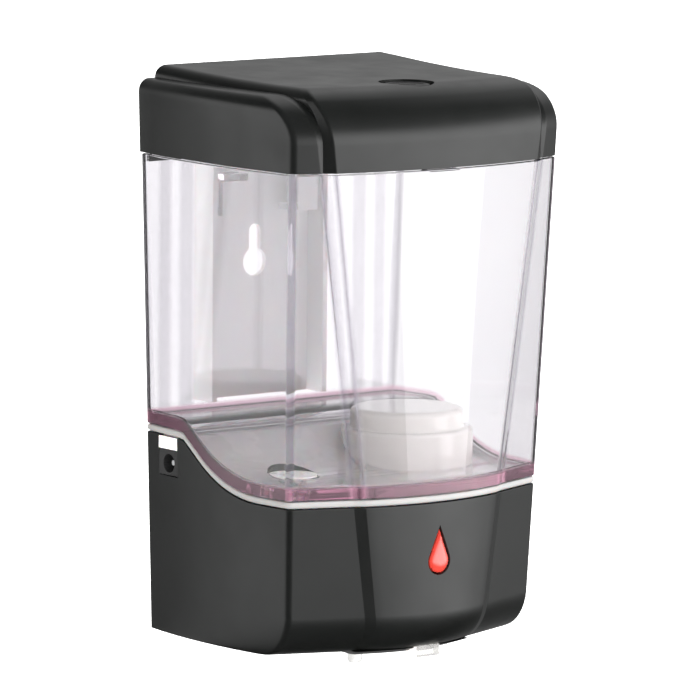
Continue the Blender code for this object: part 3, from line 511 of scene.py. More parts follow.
def arc_pull(radius, height):
    """How far a quarter-round of this radius has moved in at a height above its start."""
    height = min(max(height, 0.0), radius)
    return radius - math.sqrt(radius ** 2 - height ** 2)


# ------------------------------------------------------------------ materials

class Nodes:
    """A material with a Principled shader and short calls to add nodes to it."""

    def __init__(self, name):
        self.material = bpy.data.materials.new(name)
        self.material.use_nodes = True
        self.tree = self.material.node_tree
        self.shader = self.tree.nodes["Principled BSDF"]
        self.coords = self.add("ShaderNodeTexCoord").outputs["Object"]

    def add(self, kind, **inputs):
        node = self.tree.nodes.new(kind)
        for key, value in inputs.items():
            node.inputs[key.replace("_", " ")].default_value = value
        return node

    def link(self, source, target):
        self.tree.links.new(source, target)

    def noise(self, scale, detail=2.0, stretch=(1.0, 1.0, 1.0)):
        mapping = self.add("ShaderNodeMapping")
        mapping.inputs["Scale"].default_value = stretch
        self.link(self.coords, mapping.inputs["Vector"])
        node = self.add("ShaderNodeTexNoise", Scale=scale, Detail=detail)
        self.link(mapping.outputs["Vector"], node.inputs["Vector"])
        return node.outputs["Fac"]

    def spread(self, fac, low, high):
        """Map a noise value's middle range to low .. high."""
        node = self.add("ShaderNodeMapRange", From_Min=0.3, From_Max=0.7, To_Min=low, To_Max=high)
        self.link(fac, node.inputs["Value"])
        return node.outputs["Result"]

    def colour_mix(self, fac, first, second):
        node = self.add("ShaderNodeMix")
        node.data_type = "RGBA"
        node.inputs[6].default_value = (*first, 1.0)
        node.inputs[7].default_value = (*second, 1.0)
        self.link(fac, node.inputs[0])
        return node.outputs[2]

    def blend(self, fac, first, second):
        """Mix a colour socket towards a plain colour."""
        node = self.add("ShaderNodeMix")
        node.data_type = "RGBA"
        self.link(first, node.inputs[6])
        node.inputs[7].default_value = (*second, 1.0)
        self.link(fac, node.inputs[0])
        return node.outputs[2]

    def bump(self, height, strength, distance, below=None):
        node = self.add("ShaderNodeBump", Strength=strength, Distance=distance)
        self.link(height, node.inputs["Height"])
        if below:
            self.link(below, node.inputs["Normal"])
        return node.outputs["Normal"]

    def set(self, **sockets):
        for key, value in sockets.items():
            self.shader.inputs[key.replace("_", " ")].default_value = value


def moulded(name, dark, light, rough, grain=2600.0, bump=0.12, waves=0.05, **sockets):
    """Moulded plastic: slow colour drift, fine grain and a faint unevenness of the skin."""
    n = Nodes(name)
    drift = n.spread(n.noise(22.0, 4.0), 0.0, 1.0)
    n.link(n.colour_mix(drift, dark, light), n.shader.inputs["Base Color"])
    n.link(n.spread(n.noise(60.0, 3.0), rough[0], rough[1]), n.shader.inputs["Roughness"])
    skin = n.bump(n.noise(45.0, 1.0), waves, 0.0008)
    n.link(n.bump(n.noise(grain, 2.0), bump, 0.00006, skin), n.shader.inputs["Normal"])
    n.set(**sockets)
    return n.material


def metal(name, dark, light, rough):
    """Drawn or turned metal with fine streaks."""
    n = Nodes(name)
    streaks = n.noise(900.0, 3.0, (1.0, 1.0, 12.0))
    n.link(n.colour_mix(n.spread(streaks, 0.0, 1.0), dark, light), n.shader.inputs["Base Color"])
    n.link(n.spread(n.noise(300.0, 3.0), rough[0], rough[1]), n.shader.inputs["Roughness"])
    n.link(n.bump(streaks, 0.08, 0.00004), n.shader.inputs["Normal"])
    n.set(Metallic=1.0)
    return n.material


def clear_body(n, rough, absorb, density):
    """What the clear plastics share: polish, faint unevenness and a body colour that deepens."""
    n.link(n.spread(n.noise(35.0, 3.0), rough[0], rough[1]), n.shader.inputs["Roughness"])
    n.link(n.bump(n.noise(26.0, 1.0), 0.04, 0.0006), n.shader.inputs["Normal"])
    n.set(IOR=1.49)
    volume = n.add("ShaderNodeVolumeAbsorption", Color=(*absorb, 1.0), Density=density)
    n.link(volume.outputs["Volume"], n.tree.nodes["Material Output"].inputs["Volume"])


def frosted(name, tint, absorb, density, rough, haze):
    """Cloudy plastic whose body colour comes from its thickness."""
    n = Nodes(name)
    n.link(n.colour_mix(n.spread(n.noise(14.0, 3.0), 0.0, 1.0), tint, (1.0, 1.0, 1.0)),
           n.shader.inputs["Base Color"])
    n.set(Transmission_Weight=1.0 - haze)
    clear_body(n, rough, absorb, density)
    return n.material


# what mark_tank() stores on the tank: name, tint there (painted grey shade for the folds), change of its
# clearness
TANK_TINTS_AND_SHADE = (("folds", (0.42, 0.40, 0.45), -0.15), ("foot", (0.68, 0.36, 0.48), -0.10),
              ("milk", (0.74, 0.715, 0.675), -0.60))


def tank_plastic():
    """Clear plastic with a trace of lilac: painted grey shade at its folds and on two lines of its back,
    rosy at its foot, milky at the dome.
    """
    n = Nodes("tank_skin")
    speck = n.spread(n.noise(14.0, 3.0), 0.0, 1.0)
    colour = n.colour_mix(speck, (0.935, 0.93, 0.95), (0.97, 0.967, 0.98))
    clearness = n.spread(n.noise(9.0, 2.0), 0.99, 1.0)
    for name, tint, haze in TANK_TINTS_AND_SHADE:
        amount = n.add("ShaderNodeAttribute")
        amount.attribute_name = name
        colour = n.blend(amount.outputs["Fac"], colour, tint)
        less = n.add("ShaderNodeMath")
        less.operation = "MULTIPLY_ADD"
        n.link(amount.outputs["Fac"], less.inputs[0])
        less.inputs[1].default_value = haze
        n.link(clearness, less.inputs[2])
        clearness = less.outputs["Value"]
    n.link(colour, n.shader.inputs["Base Color"])
    n.link(clearness, n.shader.inputs["Transmission Weight"])
    clear_body(n, (0.01, 0.03), (0.60, 0.10, 0.38), 6.0)
    return n.material


def banded_cell():
    """Cell jacket: a copper coloured band low down and a dark sleeve above it, split by height along Z."""
    n = Nodes("cell_skin")
    split = n.add("ShaderNodeSeparateXYZ")
    n.link(n.coords, split.inputs["Vector"])
    edge = n.add("ShaderNodeMapRange", From_Min=(FLOOR_Z + 24.0) * MM, From_Max=(FLOOR_Z + 24.2) * MM)
    n.link(split.outputs["Z"], edge.inputs["Value"])
    sleeve = n.colour_mix(edge.outputs["Result"], (0.52, 0.25, 0.10), (0.035, 0.037, 0.045))
    speck = n.spread(n.noise(500.0, 2.0), 0.9, 1.05)
    shade = n.add("ShaderNodeMix")
    shade.data_type = "RGBA"
    shade.blend_type = "MULTIPLY"
    shade.inputs[0].default_value = 1.0
    n.link(sleeve, shade.inputs[6])
    n.link(speck, shade.inputs[7])
    n.link(shade.outputs[2], n.shader.inputs["Base Color"])
    n.link(n.spread(n.noise(90.0, 2.0), 0.22, 0.34), n.shader.inputs["Roughness"])
    n.link(n.bump(n.noise(700.0, 2.0), 0.05, 0.00003), n.shader.inputs["Normal"])
    n.set(Metallic=0.6, Coat_Weight=0.4, Coat_Roughness=0.15)
    return n.material


def circuit_board():
    """Green board with paler copper tracks under the lacquer."""
    n = Nodes("board_skin")
    cells = n.add("ShaderNodeTexVoronoi", Scale=420.0)
    cells.feature = "DISTANCE_TO_EDGE"
    cells.distance = "CHEBYCHEV"
    n.link(n.coords, cells.inputs["Vector"])
    lines = n.add("ShaderNodeMapRange", From_Min=0.04, From_Max=0.10, To_Min=1.0, To_Max=0.0)
    n.link(cells.outputs["Distance"], lines.inputs["Value"])
    n.link(n.colour_mix(lines.outputs["Result"], (0.012, 0.085, 0.035), (0.035, 0.20, 0.08)),
           n.shader.inputs["Base Color"])
    n.link(n.spread(n.noise(200.0, 2.0), 0.25, 0.4), n.shader.inputs["Roughness"])
    n.link(n.bump(lines.outputs["Result"], 0.3, 0.00005), n.shader.inputs["Normal"])
    n.set(Coat_Weight=0.5, Coat_Roughness=0.2)
    return n.material


SATIN = moulded("satin_skin", (0.0050, 0.0056, 0.0052), (0.0066, 0.0073, 0.0069), (0.28, 0.36),
                grain=3200.0, bump=0.08, waves=0.02, IOR=1.5)
INNER = moulded("inner_skin", (0.012, 0.012, 0.0125), (0.02, 0.02, 0.02), (0.45, 0.6), bump=0.2)
TANK = tank_plastic()
MILKY = moulded("milky_skin", (0.88, 0.86, 0.82), (0.93, 0.91, 0.87), (0.22, 0.32), bump=0.04,
                Subsurface_Weight=0.4, Subsurface_Scale=0.002)
FROSTED = moulded("plate_skin", (0.60, 0.60, 0.585), (0.66, 0.66, 0.645), (0.38, 0.5), bump=0.08,
                  Subsurface_Weight=0.3, Subsurface_Scale=0.002)
SEAL = moulded("seal_skin", (0.25, 0.245, 0.24), (0.29, 0.285, 0.28), (0.42, 0.55), bump=0.08,
               Subsurface_Weight=0.2, Subsurface_Scale=0.001)
SILICONE = frosted("silicone_skin", (0.95, 0.94, 0.90), (0.85, 0.82, 0.75), 40.0, (0.25, 0.38), haze=0.3)
SMOKE = frosted("sensor_skin", (0.93, 0.91, 0.87), (0.7, 0.66, 0.6), 60.0, (0.12, 0.2), haze=0.15)
STEEL = metal("steel_skin", (0.52, 0.53, 0.54), (0.66, 0.67, 0.68), (0.22, 0.36))
NICKEL = metal("nickel_skin", (0.60, 0.58, 0.53), (0.72, 0.70, 0.66), (0.18, 0.3))
CHIP = moulded("chip_skin", (0.012, 0.012, 0.012), (0.022, 0.022, 0.023), (0.35, 0.5), bump=0.3)
RED = moulded("red_skin", (0.50, 0.03, 0.022), (0.64, 0.06, 0.04), (0.06, 0.12), bump=0.02,
              Transmission_Weight=0.35, Coat_Weight=1.0, Coat_Roughness=0.04)
CELL = banded_cell()
BOARD = circuit_board()


# ------------------------------------------------------------------ base

def drop_outline(grow):
    """Drop shape in the front panel, as (x, z): a round bottom drawn up to a soft point."""
    radius = 4.3 + grow
    centre_z = 33.2
    tip_z = 44.8 + 1.6 * grow
    tangent = math.acos(radius / (tip_z - centre_z))
    points = []
    for i in range(37):
        angle = math.pi / 2 + tangent + (math.tau - 2 * tangent) * i / 36
        points.append((radius * math.cos(angle), centre_z + radius * math.sin(angle)))
    side = points[-1]
    back = points[0]
    for start, end in ((side, (0.0, tip_z)), ((0.0, tip_z), back)):
        for i in range(1, 7):
            t = i / 7
            points.append((start[0] + (end[0] - start[0]) * t, start[1] + (end[1] - start[1]) * t))
        if start is side:
            points.append((0.0, tip_z))
    return points


def drop_loft(levels):
    """Solid through drop outlines, each (growth, y)."""
    bm = bmesh.new()
    loops = []
    for grow, y in levels:
        loops.append([bm.verts.new((x, y, z)) for x, z in drop_outline(grow)])
    add_wall(bm, loops)
    bm.faces.new(loops[0])
    bm.faces.new(loops[-1])
    return bm


def base_rings(inset, floor_z, radius):
    """Rings of the base's rounded foot, from its underside up."""
    rings = []
    for i in range(11):
        part = 1.0 - math.cos(math.pi / 2 * i / 10)
        z = floor_z + radius * part
        rings.append(wall_ring(z, inset, arc_pull(radius, radius * (1.0 - part))))
    return rings


def make_base():
    """Black base: a shell with a rounded foot, a skid under its front and its openings."""
    rim = 0.5
    rings = base_rings(0.0, 0.0, FOOT_R)
    for along, across in quarter(3):
        rings.append(wall_ring(edge_at(-rim * (1.0 - along)), rim * across))
    for along, across in reversed(quarter(3)):
        rings.append(wall_ring(edge_at(-rim * (1.0 - along)), WALL - rim * across))
    rings += base_rings(WALL, BASE_FLOOR, FOOT_R - WALL)[::-1]
    base = Shape(loft(rings))
    base.join(skid())
    for x, y in BASE_SCREWS:
        base.cut(turned([(0.0, -1.0), (3.9, -1.0), (3.4, 0.5), (3.4, 3.0), (0.0, 3.0)], (x, y, 0.0)))
    base.cut(box(-33.2, 33.2, -39.0, -17.1, -3.0, 3.2))
    base.cut(box(-60.0, -52.0, -35.0, -22.6, 57.9, 80.0))
    base.cut(box(-36.4, -27.6, -76.2, -73.0, -3.0, 4.0))
    base.cut(turned([(0.0, -4.0), (7.6, -4.0), (6.3, -0.9), (6.3, 5.0), (0.0, 5.0)], NOZZLE))
    base.cut(box(-2.9, 8.1, -104.8, -98.2, -4.0, 8.0))
    base.cut(drop_loft([(1.7, -115.6), (0.5, -113.6), (GAP, -113.2), (GAP, -108.0)]))
    piece("base_casing", base, SATIN, "dispenser", ["base_shell"])


def skid():
    """The centre band runs on under the base as a shallow skid."""
    rings = []
    for z, half, back in ((-SKID_DROP, at_height(STEP_X, 0.0) - 0.6, SKID_BACK_Y - 2.6),
                          (-SKID_DROP + 0.4, at_height(STEP_X, 0.0), SKID_BACK_Y - 2.0),
                          (0.6, at_height(FOLD_X, 0.0), SKID_BACK_Y)):
        pull = arc_pull(FOOT_R + SKID_DROP, FOOT_R - z)
        front_y = at_height(STEP_Y, 0.0) + pull + 1.6
        nose_y = at_height(NOSE_Y, 0.0) + pull + 1.6
        points = [(-half, back, 0.0), (-half, front_y, 0.0)]
        for i in range(1, BAND_STEPS + 1):
            across = 1.0 - i / BAND_STEPS
            points.append((-half * across, nose_y + (front_y - nose_y) * across ** 2, 0.0))
        rings.append([(x, y, z) for x, y in full_ring(points)])
    return loft(rings)


def make_drop():
    """Red lens: a drop with a rolled edge and a domed face."""
    levels = [(0.0, -111.4), (0.0, -113.4), (-0.15, -113.8), (-0.5, -114.15), (-1.2, -114.5),
              (-2.2, -114.75), (-3.3, -114.85)]
    piece("drop_lens", drop_loft(levels), RED, "dispenser", ["drop_window"], sharp=50.0)


# ------------------------------------------------------------------ tank and what it sits on

CATCH = [(-114.6, 172.8), (-114.6, 173.5), (-111.4, 173.5), (-111.4, 187.1), (-104.5, 187.1),
         (-104.5, 185.1), (-109.6, 185.1), (-109.6, 172.8)]     # hook for the lock's cam, in (y, z)


def dome_profile(radius, rim_z, top_radius, top_z, bottom_z, fillet_r=2.4):
    """Two-tier dome with rounded shoulders."""
    points = [(0.0, bottom_z), (radius, bottom_z)]
    for along, across in quarter():
        points.append((radius - 1.4 * across, rim_z - 1.4 * (1.0 - along)))
    root = 1.0
    for along, across in quarter(3):
        points.append((top_radius + root * (1.0 - along), rim_z + root * across))
    for along, across in quarter(6):
        points.append((top_radius - fillet_r * across, top_z - fillet_r * (1.0 - along)))
    points.append((0.0, top_z))
    return points


def under_floor(offset):
    """Everything below the S-shaped floor, as a block under a raised copy of the edge curve."""
    top = [(y, edge_z(y) + offset) for y in range(-120, 0, 1)]
    return prism_x([(0.0, 30.0), (-120.0, 30.0), *top], -70.0, 70.0)


def make_tank():
    """Clear tank with its dome and sump, the lid's hinge and catch, and the hanging lugs."""
    tank = Shape(loft(tank_rings()))
    add_dome(tank)
    add_sump(tank)
    add_hinge(tank)
    tank.join(prism_x(CATCH, -6.5, 6.5))
    lug = [(BACK_Y - 0.6, 161.0), (-7.1, 161.0), (-7.1, 151.0), (-4.9, 151.0), (-4.9, 163.4),
           (BACK_Y - 0.6, 163.4)]
    for side in (-1, 1):
        tank.join(prism_x(lug, side * HOOK_X - LUG_HALF, side * HOOK_X + LUG_HALF))
    mark_tank(piece("clear_tank", tank, TANK, "dispenser", ["tank"]).data)


def add_dome(tank):
    """Two-tier dome that makes room for the motor under the tank's floor."""
    dome = Shape(turned(dome_profile(DOME_R, DOME_RIM_Z, DOME_TOP_R, DOME_TOP_Z, 52.0), PUMP, steps=96))
    dome.cut(under_floor(TANK_START + 0.7))
    tank.join(dome.bm)
    tank.cut(turned(dome_profile(DOME_R - 2.0, DOME_RIM_Z - 2.0, DOME_TOP_R - 2.0,
                                 DOME_TOP_Z - 2.0, 50.0, 1.6), PUMP, steps=96))


def add_sump(tank):
    """Round sump in the floor, with the stub that the feed tube pushes onto."""
    sump = (OUTLET[0], OUTLET[1])
    floor_z = FRONT_EDGE_Z + TANK_START + TANK_FLOOR
    tank.join(rod(9.2, floor_z - 1.0, floor_z + 0.5, sump, chamfer=0.2))
    tank.join(rod(4.5, 46.0, floor_z - 1.0, sump))
    tank.cut(rod(8.6, floor_z - 0.7, 70.0, sump))
    tank.cut(rod(2.4, 40.0, 70.0, sump))


def add_hinge(tank):
    """Back wall raised behind the lid, with the hinge's middle knuckle."""
    tank.join(box(-56.0, 56.0, BACK_Y - WALL, BACK_Y, TANK_TOP_Z - 3.0, 189.0))
    tab = [(BACK_Y - 0.5, 185.0), (BACK_Y - 0.5, HINGE_Z), (HINGE_Y - 2.0, HINGE_Z),
           (BACK_Y - WALL, 185.0)]
    tank.join(prism_x(tab, -KNUCKLE_HALF, KNUCKLE_HALF))
    tank.join(rod(KNUCKLE_R, -KNUCKLE_HALF, KNUCKLE_HALF, (HINGE_Y, HINGE_Z), "X"))
    tank.cut(rod(BORE_R, -25.0, 25.0, (HINGE_Y, HINGE_Z), "X"))


def fold_shade_amount(x, y, z):
    """How much painted shade the tank gets at a point: full along folds and corners, less on the two
    painted lines of its back.
    """
    spots = [(at_height(FOLD_X, z), at_height(FOLD_Y, z), 1.5),
             (at_height(STEP_X, z), at_height(STEP_Y, z), 1.5),
             (at_height(SIDE_X, z), at_height(CORNER_Y, z), 1.5),
             (at_height(SIDE_X, z), BACK_Y, BACK_R + 0.3)]
    # painted shade: full grey along the folds and corners
    if any(math.hypot(abs(x) - a, y - b) < reach for a, b, reach in spots):
        return 1.0
    painted_lines = (BACK_LINES[1:3], BACK_LINES[5:7])
    on_painted_line = y > BACK_Y - WALL - 0.1 and any(low - 0.1 < abs(x) < high + 0.1 for low, high in painted_lines)
    # painted shade: lighter grey lines on the back wall, where no rib is modelled
    return 0.45 if on_painted_line else 0.0


def in_design_mm(point):
    """A mesh point of a finished piece, back in design millimetres."""
    return (point.x / MM, point.y / MM, point.z / MM - FLOOR_Z)


def foot_points():
    """Search tree of the outer rings that bound the tank's rosy foot."""
    ring = [p for height in (TANK_EDGE_R, FOOT_H) for p in wall_ring(edge_at(TANK_START + height))]
    tree = KDTree(len(ring))
    for i, point in enumerate(ring):
        tree.insert(point, i)
    tree.balance()
    return tree


def mark_tank(mesh):
    """Store where the tank is tinted and shaded: painted shade at folds, corners and two lines on its back,
    the foot of its walls and its milky dome.
    """
    folds = mesh.attributes.new("folds", "FLOAT", "POINT")
    foot = mesh.attributes.new("foot", "FLOAT", "POINT")
    milk = mesh.attributes.new("milk", "FLOAT", "FACE")
    near = foot_points()
    for i, vert in enumerate(mesh.vertices):
        spot = in_design_mm(vert.co)
        folds.data[i].value = fold_shade_amount(*spot)
        foot.data[i].value = 1.0 if near.find(spot)[2] < 0.1 else 0.0
    for i, face in enumerate(mesh.polygons):
        x, y, z = in_design_mm(face.center)
        in_dome = math.hypot(x - PUMP[0], y - PUMP[1]) < DOME_R + 0.4
        above = z > edge_z(y) + TANK_START + TANK_FLOOR + 0.2
        milk.data[i].value = 1.0 if in_dome and above else 0.0


def make_seal():
    """White seal strip with rounded lips, seen as a light line between base and tank."""
    rings = []
    middle = GAP + SEAL_H / 2
    for i in range(9):
        turn = math.pi * (i / 8 - 0.5)
        rings.append(wall_ring(edge_at(middle + SEAL_H / 2 * math.sin(turn)), 0.7 * (1.0 - math.cos(turn))))
    rings.append(wall_ring(edge_at(GAP + SEAL_H), 4.2))
    rings.append(wall_ring(edge_at(GAP), 4.2))
    piece("seal_band", loft(rings, closed=True), SEAL, "dispenser", ["rim_seal"])


def make_chassis():
    """White frame under the tank: floor, inner dome, screw posts and the tab above the inlet."""
    inset = WALL + 0.4
    rings = [wall_ring(edge_at(-2.3), inset), wall_ring(edge_at(-GAP - 0.3), inset),
             wall_ring(edge_at(-GAP), inset + 0.3)]
    chassis = Shape(loft(rings))
    chassis.join(turned(dome_profile(DOME_R - 2.4, DOME_RIM_Z - 2.4, DOME_TOP_R - 2.4,
                                     DOME_TOP_Z - 2.4, 53.0, 1.5), PUMP, steps=96))
    for x, y in BASE_SCREWS:
        chassis.join(rod(4.0, 5.8, edge_z(y) - 1.0, (x, y)))
    for dx in (-24.5, 24.5):
        chassis.join(rod(3.2, 46.4, 57.0, (PUMP[0] + dx, PUMP[1])))
    chassis.cut(turned(dome_profile(DOME_R - 4.0, DOME_RIM_Z - 4.0, DOME_TOP_R - 4.0,
                                    DOME_TOP_Z - 4.0, 40.0, 1.2), PUMP, steps=96))
    chassis.cut(rod(5.2, 45.0, 70.0, (OUTLET[0], OUTLET[1])))
    chassis.join(box(-57.7, -54.0, -34.7, -22.9, 67.7, 72.0))
    piece("inner_frame", chassis, MILKY, "dispenser", ["chassis"])


# ------------------------------------------------------------------ lid

def droop_ring(points, z, droop):
    """Lower the front of the lid's top a little: it falls from the back and levels out."""
    weight = min(max((z - 182.0) / 18.0, 0.0), 1.0)
    ring = []
    for x, y in points:
        left = 1.0 - min(max((BACK_Y - y) / DROOP_DEPTH, 0.0), 1.0)
        ring.append((x, y, z - droop * weight * (1.0 - left ** 2)))
    return ring


def spaced(points, pieces=8):
    """Split the long straight sides next to a mirrored ring's ends."""
    def split(a, b, start, end):
        return [tuple(p + (q - p) * i / pieces for p, q in zip(a, b)) for i in range(start, end)]

    left = split(points[0], points[1], 0, pieces)
    right = split(points[-2], points[-1], 1, pieces + 1)
    return left + points[1:-1] + right


def lid_body_rings(inset, bottom):
    """Shoulders, sides and facets of the lid.  inset thins it for the hollow inside."""
    heights = [bottom] + [LID_ARC_Z + LID_FRONT_H * along for along, across in quarter(16)]
    top = LID_SHOULDER_Z - inset
    rings = []
    for height in heights:
        pull = arc_pull(LID_FRONT_R, (height - LID_ARC_Z) * LID_FRONT_R / LID_FRONT_H)
        turn = max(0.0, height - (LID_SHOULDER_Z - LID_SHOULDER_H)) / LID_SHOULDER_H
        squeeze = LID_SHOULDER_W * (1.0 - math.sqrt(max(0.0, 1.0 - turn ** 2)))
        points = full_ring(half_plan(height, pull, squeeze, False), inset)
        z = min(height, top + 0.01 * (height - bottom)) if inset else height
        rings.append(droop_ring(points, z, BODY_DROOP))
    return rings


def lid_band_rings(inset, bottom):
    """Raised centre band of the lid, rounded at its edges and over the front."""
    edge_start = BAND_TOP_Z - BAND_EDGE_H
    levels = [(bottom, 0.0)] + [(z, 0.0) for z in (BAND_ARC_Z, 186.5, 189.0, 191.5, 194.0, 196.0, 198.0,
                                                   199.8)]
    levels += [(edge_start + BAND_EDGE_H * along, BAND_EDGE_W * across) for along, across in quarter(9)]
    rings = []
    for z, narrow in levels:
        pull = arc_pull(BAND_FRONT_R, (z - BAND_ARC_Z) * BAND_FRONT_R / BAND_FRONT_H)
        fold_x = min(at_height(FOLD_X, z) + 0.5, TOP_HALF_FOLD) - narrow
        step_x = min(at_height(STEP_X, z), fold_x - 0.8)
        fold_y = at_height(FOLD_Y, z) + pull + 0.6
        step_y = at_height(STEP_Y, z) + pull
        nose_y = at_height(NOSE_Y, z) + pull
        corners = [(narrow - TOP_HALF_BACK, BACK_Y, 0.0), (-fold_x, fold_y, FOLD_R),
                   (-step_x, step_y, STEP_R)]
        for i in range(1, BAND_STEPS + 1):
            across = 1.0 - i / BAND_STEPS
            corners.append((-step_x * across, nose_y + (step_y - nose_y) * across ** 2, 0.0))
        points = spaced(full_ring(corners, inset))
        rings.append(droop_ring(points, z - (inset if z > 195.0 else 0.0), BAND_DROOP))
    return rings


def open_back(rings, reach):
    """Stretch a ring's rear points out through the back of the lid."""
    stretched = []
    for points in rings:
        back = max(p[1] for p in points)
        stretched.append([(x, y + reach if y > back - 2.5 else y, z) for x, y, z in points])
    return stretched


def make_lid():
    """Hollow lid with its raised band, hinge webs and knuckles, and the recess for the lock."""
    lid = Shape(loft(open_back(lid_body_rings(0.0, LID_Z - 4.0), 3.0)))
    lid.join(loft(open_back(lid_band_rings(0.0, LID_Z - 5.0), 4.0)))
    lid.cut(loft(open_back(lid_body_rings(WALL, LID_Z - 8.0), 9.0)))
    lid.cut(loft(open_back(lid_band_rings(WALL, LID_Z - 9.0), 10.0)))
    lid.cut(box(-80.0, 80.0, BACK_Y, 20.0, 150.0, 230.0))
    lid.cut(box(-80.0, 80.0, -140.0, 20.0, 150.0, LID_Z))
    for side in (-1, 1):
        web = [(-19.6, HINGE_Z), (-19.6, 203.6), (-14.0, 203.6), (-14.0, HINGE_Z)]
        lid.join(prism_x(web, side * 20.0, side * 30.0))
        ends = sorted((side * 20.0, side * 30.0))
        lid.join(rod(KNUCKLE_R, *ends, (HINGE_Y, HINGE_Z), "X"))
    lid.cut(rod(BORE_R, -33.0, 33.0, (HINGE_Y, HINGE_Z), "X"))
    lock = (0.0, LOCK_Y)
    lid.join(rod(11.0, 192.0, LOCK_Z - 0.3, lock))
    lid.cut(rod(LOCK_RECESS_R, LOCK_Z, 210.0, lock))
    lid.cut(rod(LOCK_HEAD_R + GAP, LOCK_Z - 2.0, 210.0, lock))
    lid.cut(rod(LOCK_BODY_R + GAP, 180.0, 210.0, lock))
    piece("lid_casing", lid, SATIN, "lid", ["top_lid"])


def make_lock():
    """Lock's plug: a round face with a shallow ring and a slot for the key."""
    low = LOCK_Z - 1.7
    top = LOCK_Z + 0.8
    spot = (0.0, LOCK_Y, 0.0)
    profile = [(0.0, 185.0), (LOCK_BODY_R, 185.0), (LOCK_BODY_R, low), (LOCK_HEAD_R, low)]
    profile += [(LOCK_HEAD_R - 0.6 * across, top - 0.6 * (1.0 - along)) for along, across in quarter(4)]
    profile += [(6.6, top), (6.3, top - 0.25), (0.0, top - 0.25)]
    plug = Shape(turned(profile, spot))
    slit = box(-3.5, 3.5, -0.65, 0.65, top - 3.0, top + 2.0)
    bmesh.ops.rotate(slit, verts=slit.verts, cent=(0.0, 0.0, 0.0),
                     matrix=Matrix.Rotation(math.radians(-31.0), 3, "Z"))
    for vert in slit.verts:
        vert.co.y += LOCK_Y
    plug.cut(slit)
    piece("lock_face", plug, INNER, "lock", ["lock_plug"])


# ------------------------------------------------------------------ wall plate

def make_plate():
    """Hanging plate with two flanges, two hooks and a keyhole."""
    plate = Shape(box(-PLATE_HALF, PLATE_HALF, -PLATE_T, 0.0, PLATE_BOTTOM_Z, PLATE_TOP_Z))
    hook = [(-1.0, HOOK_Z), (-1.0, HOOK_Z + 2.2), (-9.4, HOOK_Z + 2.2), (-9.4, HOOK_TOP_Z),
            (-11.2, HOOK_TOP_Z), (-11.2, HOOK_Z)]
    for side in (-1, 1):
        plate.join(box(side * (PLATE_HALF - PLATE_T), side * PLATE_HALF, FLANGE_Y, -1.0,
                       PLATE_BOTTOM_Z, PLATE_TOP_Z))
        plate.join(prism_x(hook, side * HOOK_X - HOOK_HALF, side * HOOK_X + HOOK_HALF))
    plate.cut(rod(KEYHOLE_R, -4.0, 2.0, (0.0, KEYHOLE_Z), "Y"))
    plate.cut(box(-KEYSLOT_R, KEYSLOT_R, -4.0, 2.0, KEYHOLE_Z, KEYSLOT_TOP_Z))
    plate.cut(rod(KEYSLOT_R, -4.0, 2.0, (0.0, KEYSLOT_TOP_Z), "Y"))
    piece("hanging_plate", plate, FROSTED, "wall_mount", ["wall_plate"], bevel=0.35)


make_base()
make_drop()
make_tank()
make_seal()
make_chassis()
make_lid()
make_lock()
make_plate()

# ------------------------------------------------------------------ skins for the CAD nodes that stay

SKIN_OF_SLOT = {
    "satin_black": SATIN, "clear_tank": TANK, "white_abs": MILKY, "plate_grey": FROSTED,
    "seal_white": SEAL, "silicone": SILICONE, "red_lens": RED, "smoke_lens": SMOKE,
    "board_green": BOARD, "chip_black": CHIP, "bright_steel": STEEL, "nickel": NICKEL,
    "cell_jacket": CELL, "inner_black": INNER,
}
for part in frame["record"]["subparts"]:
    obj = frame["nodes"][part["node"]]
    obj.data.materials.clear()
    obj.data.materials.append(SKIN_OF_SLOT[part["material_slot"]])


# ------------------------------------------------------------------ room, light and camera

ROOM_DROP = 3.0        # the dispenser hangs this far above the floor, in metres
LIGHT_AIM = Vector((0.0, -0.06, 0.0))
LEFT_PANEL = (-0.866, 0.5, 0.0)     # directions of the studio's lit panels, as gloss sees them
RIGHT_PANEL = (0.53, -0.848, 0.0)
TOP_PANEL = (0.60, 0.40, 0.69)
BACK_PANEL = (0.60, 0.79, 0.10)
LIT_SIDE = (0.60, 0.79, -0.13)      # direction of the white backdrop that shows through glass
SOFT_LIGHT = (0.55, -0.78, 0.30)    # direction that most of the light on dull surfaces comes from


def make_floor():
    """Plain pale floor, far enough down to leave room for a look from below."""
    bm = bmesh.new()
    bmesh.ops.create_grid(bm, x_segments=1, y_segments=1, size=40.0)
    mesh = bpy.data.meshes.new("floor")
    bm.to_mesh(mesh)
    bm.free()
    floor = bpy.data.objects.new("floor", mesh)
    floor.location = (0.0, 0.0, cad_box[0].z - ROOM_DROP)
    bpy.context.scene.collection.objects.link(floor)
    n = Nodes("floor_paint")
    n.link(n.colour_mix(n.spread(n.noise(3.0), 0.0, 1.0), (0.94, 0.94, 0.94), (0.96, 0.96, 0.96)),
           n.shader.inputs["Base Color"])
    n.set(Roughness=0.9, Emission_Color=(1.0, 1.0, 1.0, 1.0), Emission_Strength=0.08)
    mesh.materials.append(n.material)
    floor.visible_glossy = False
    floor.visible_transmission = False


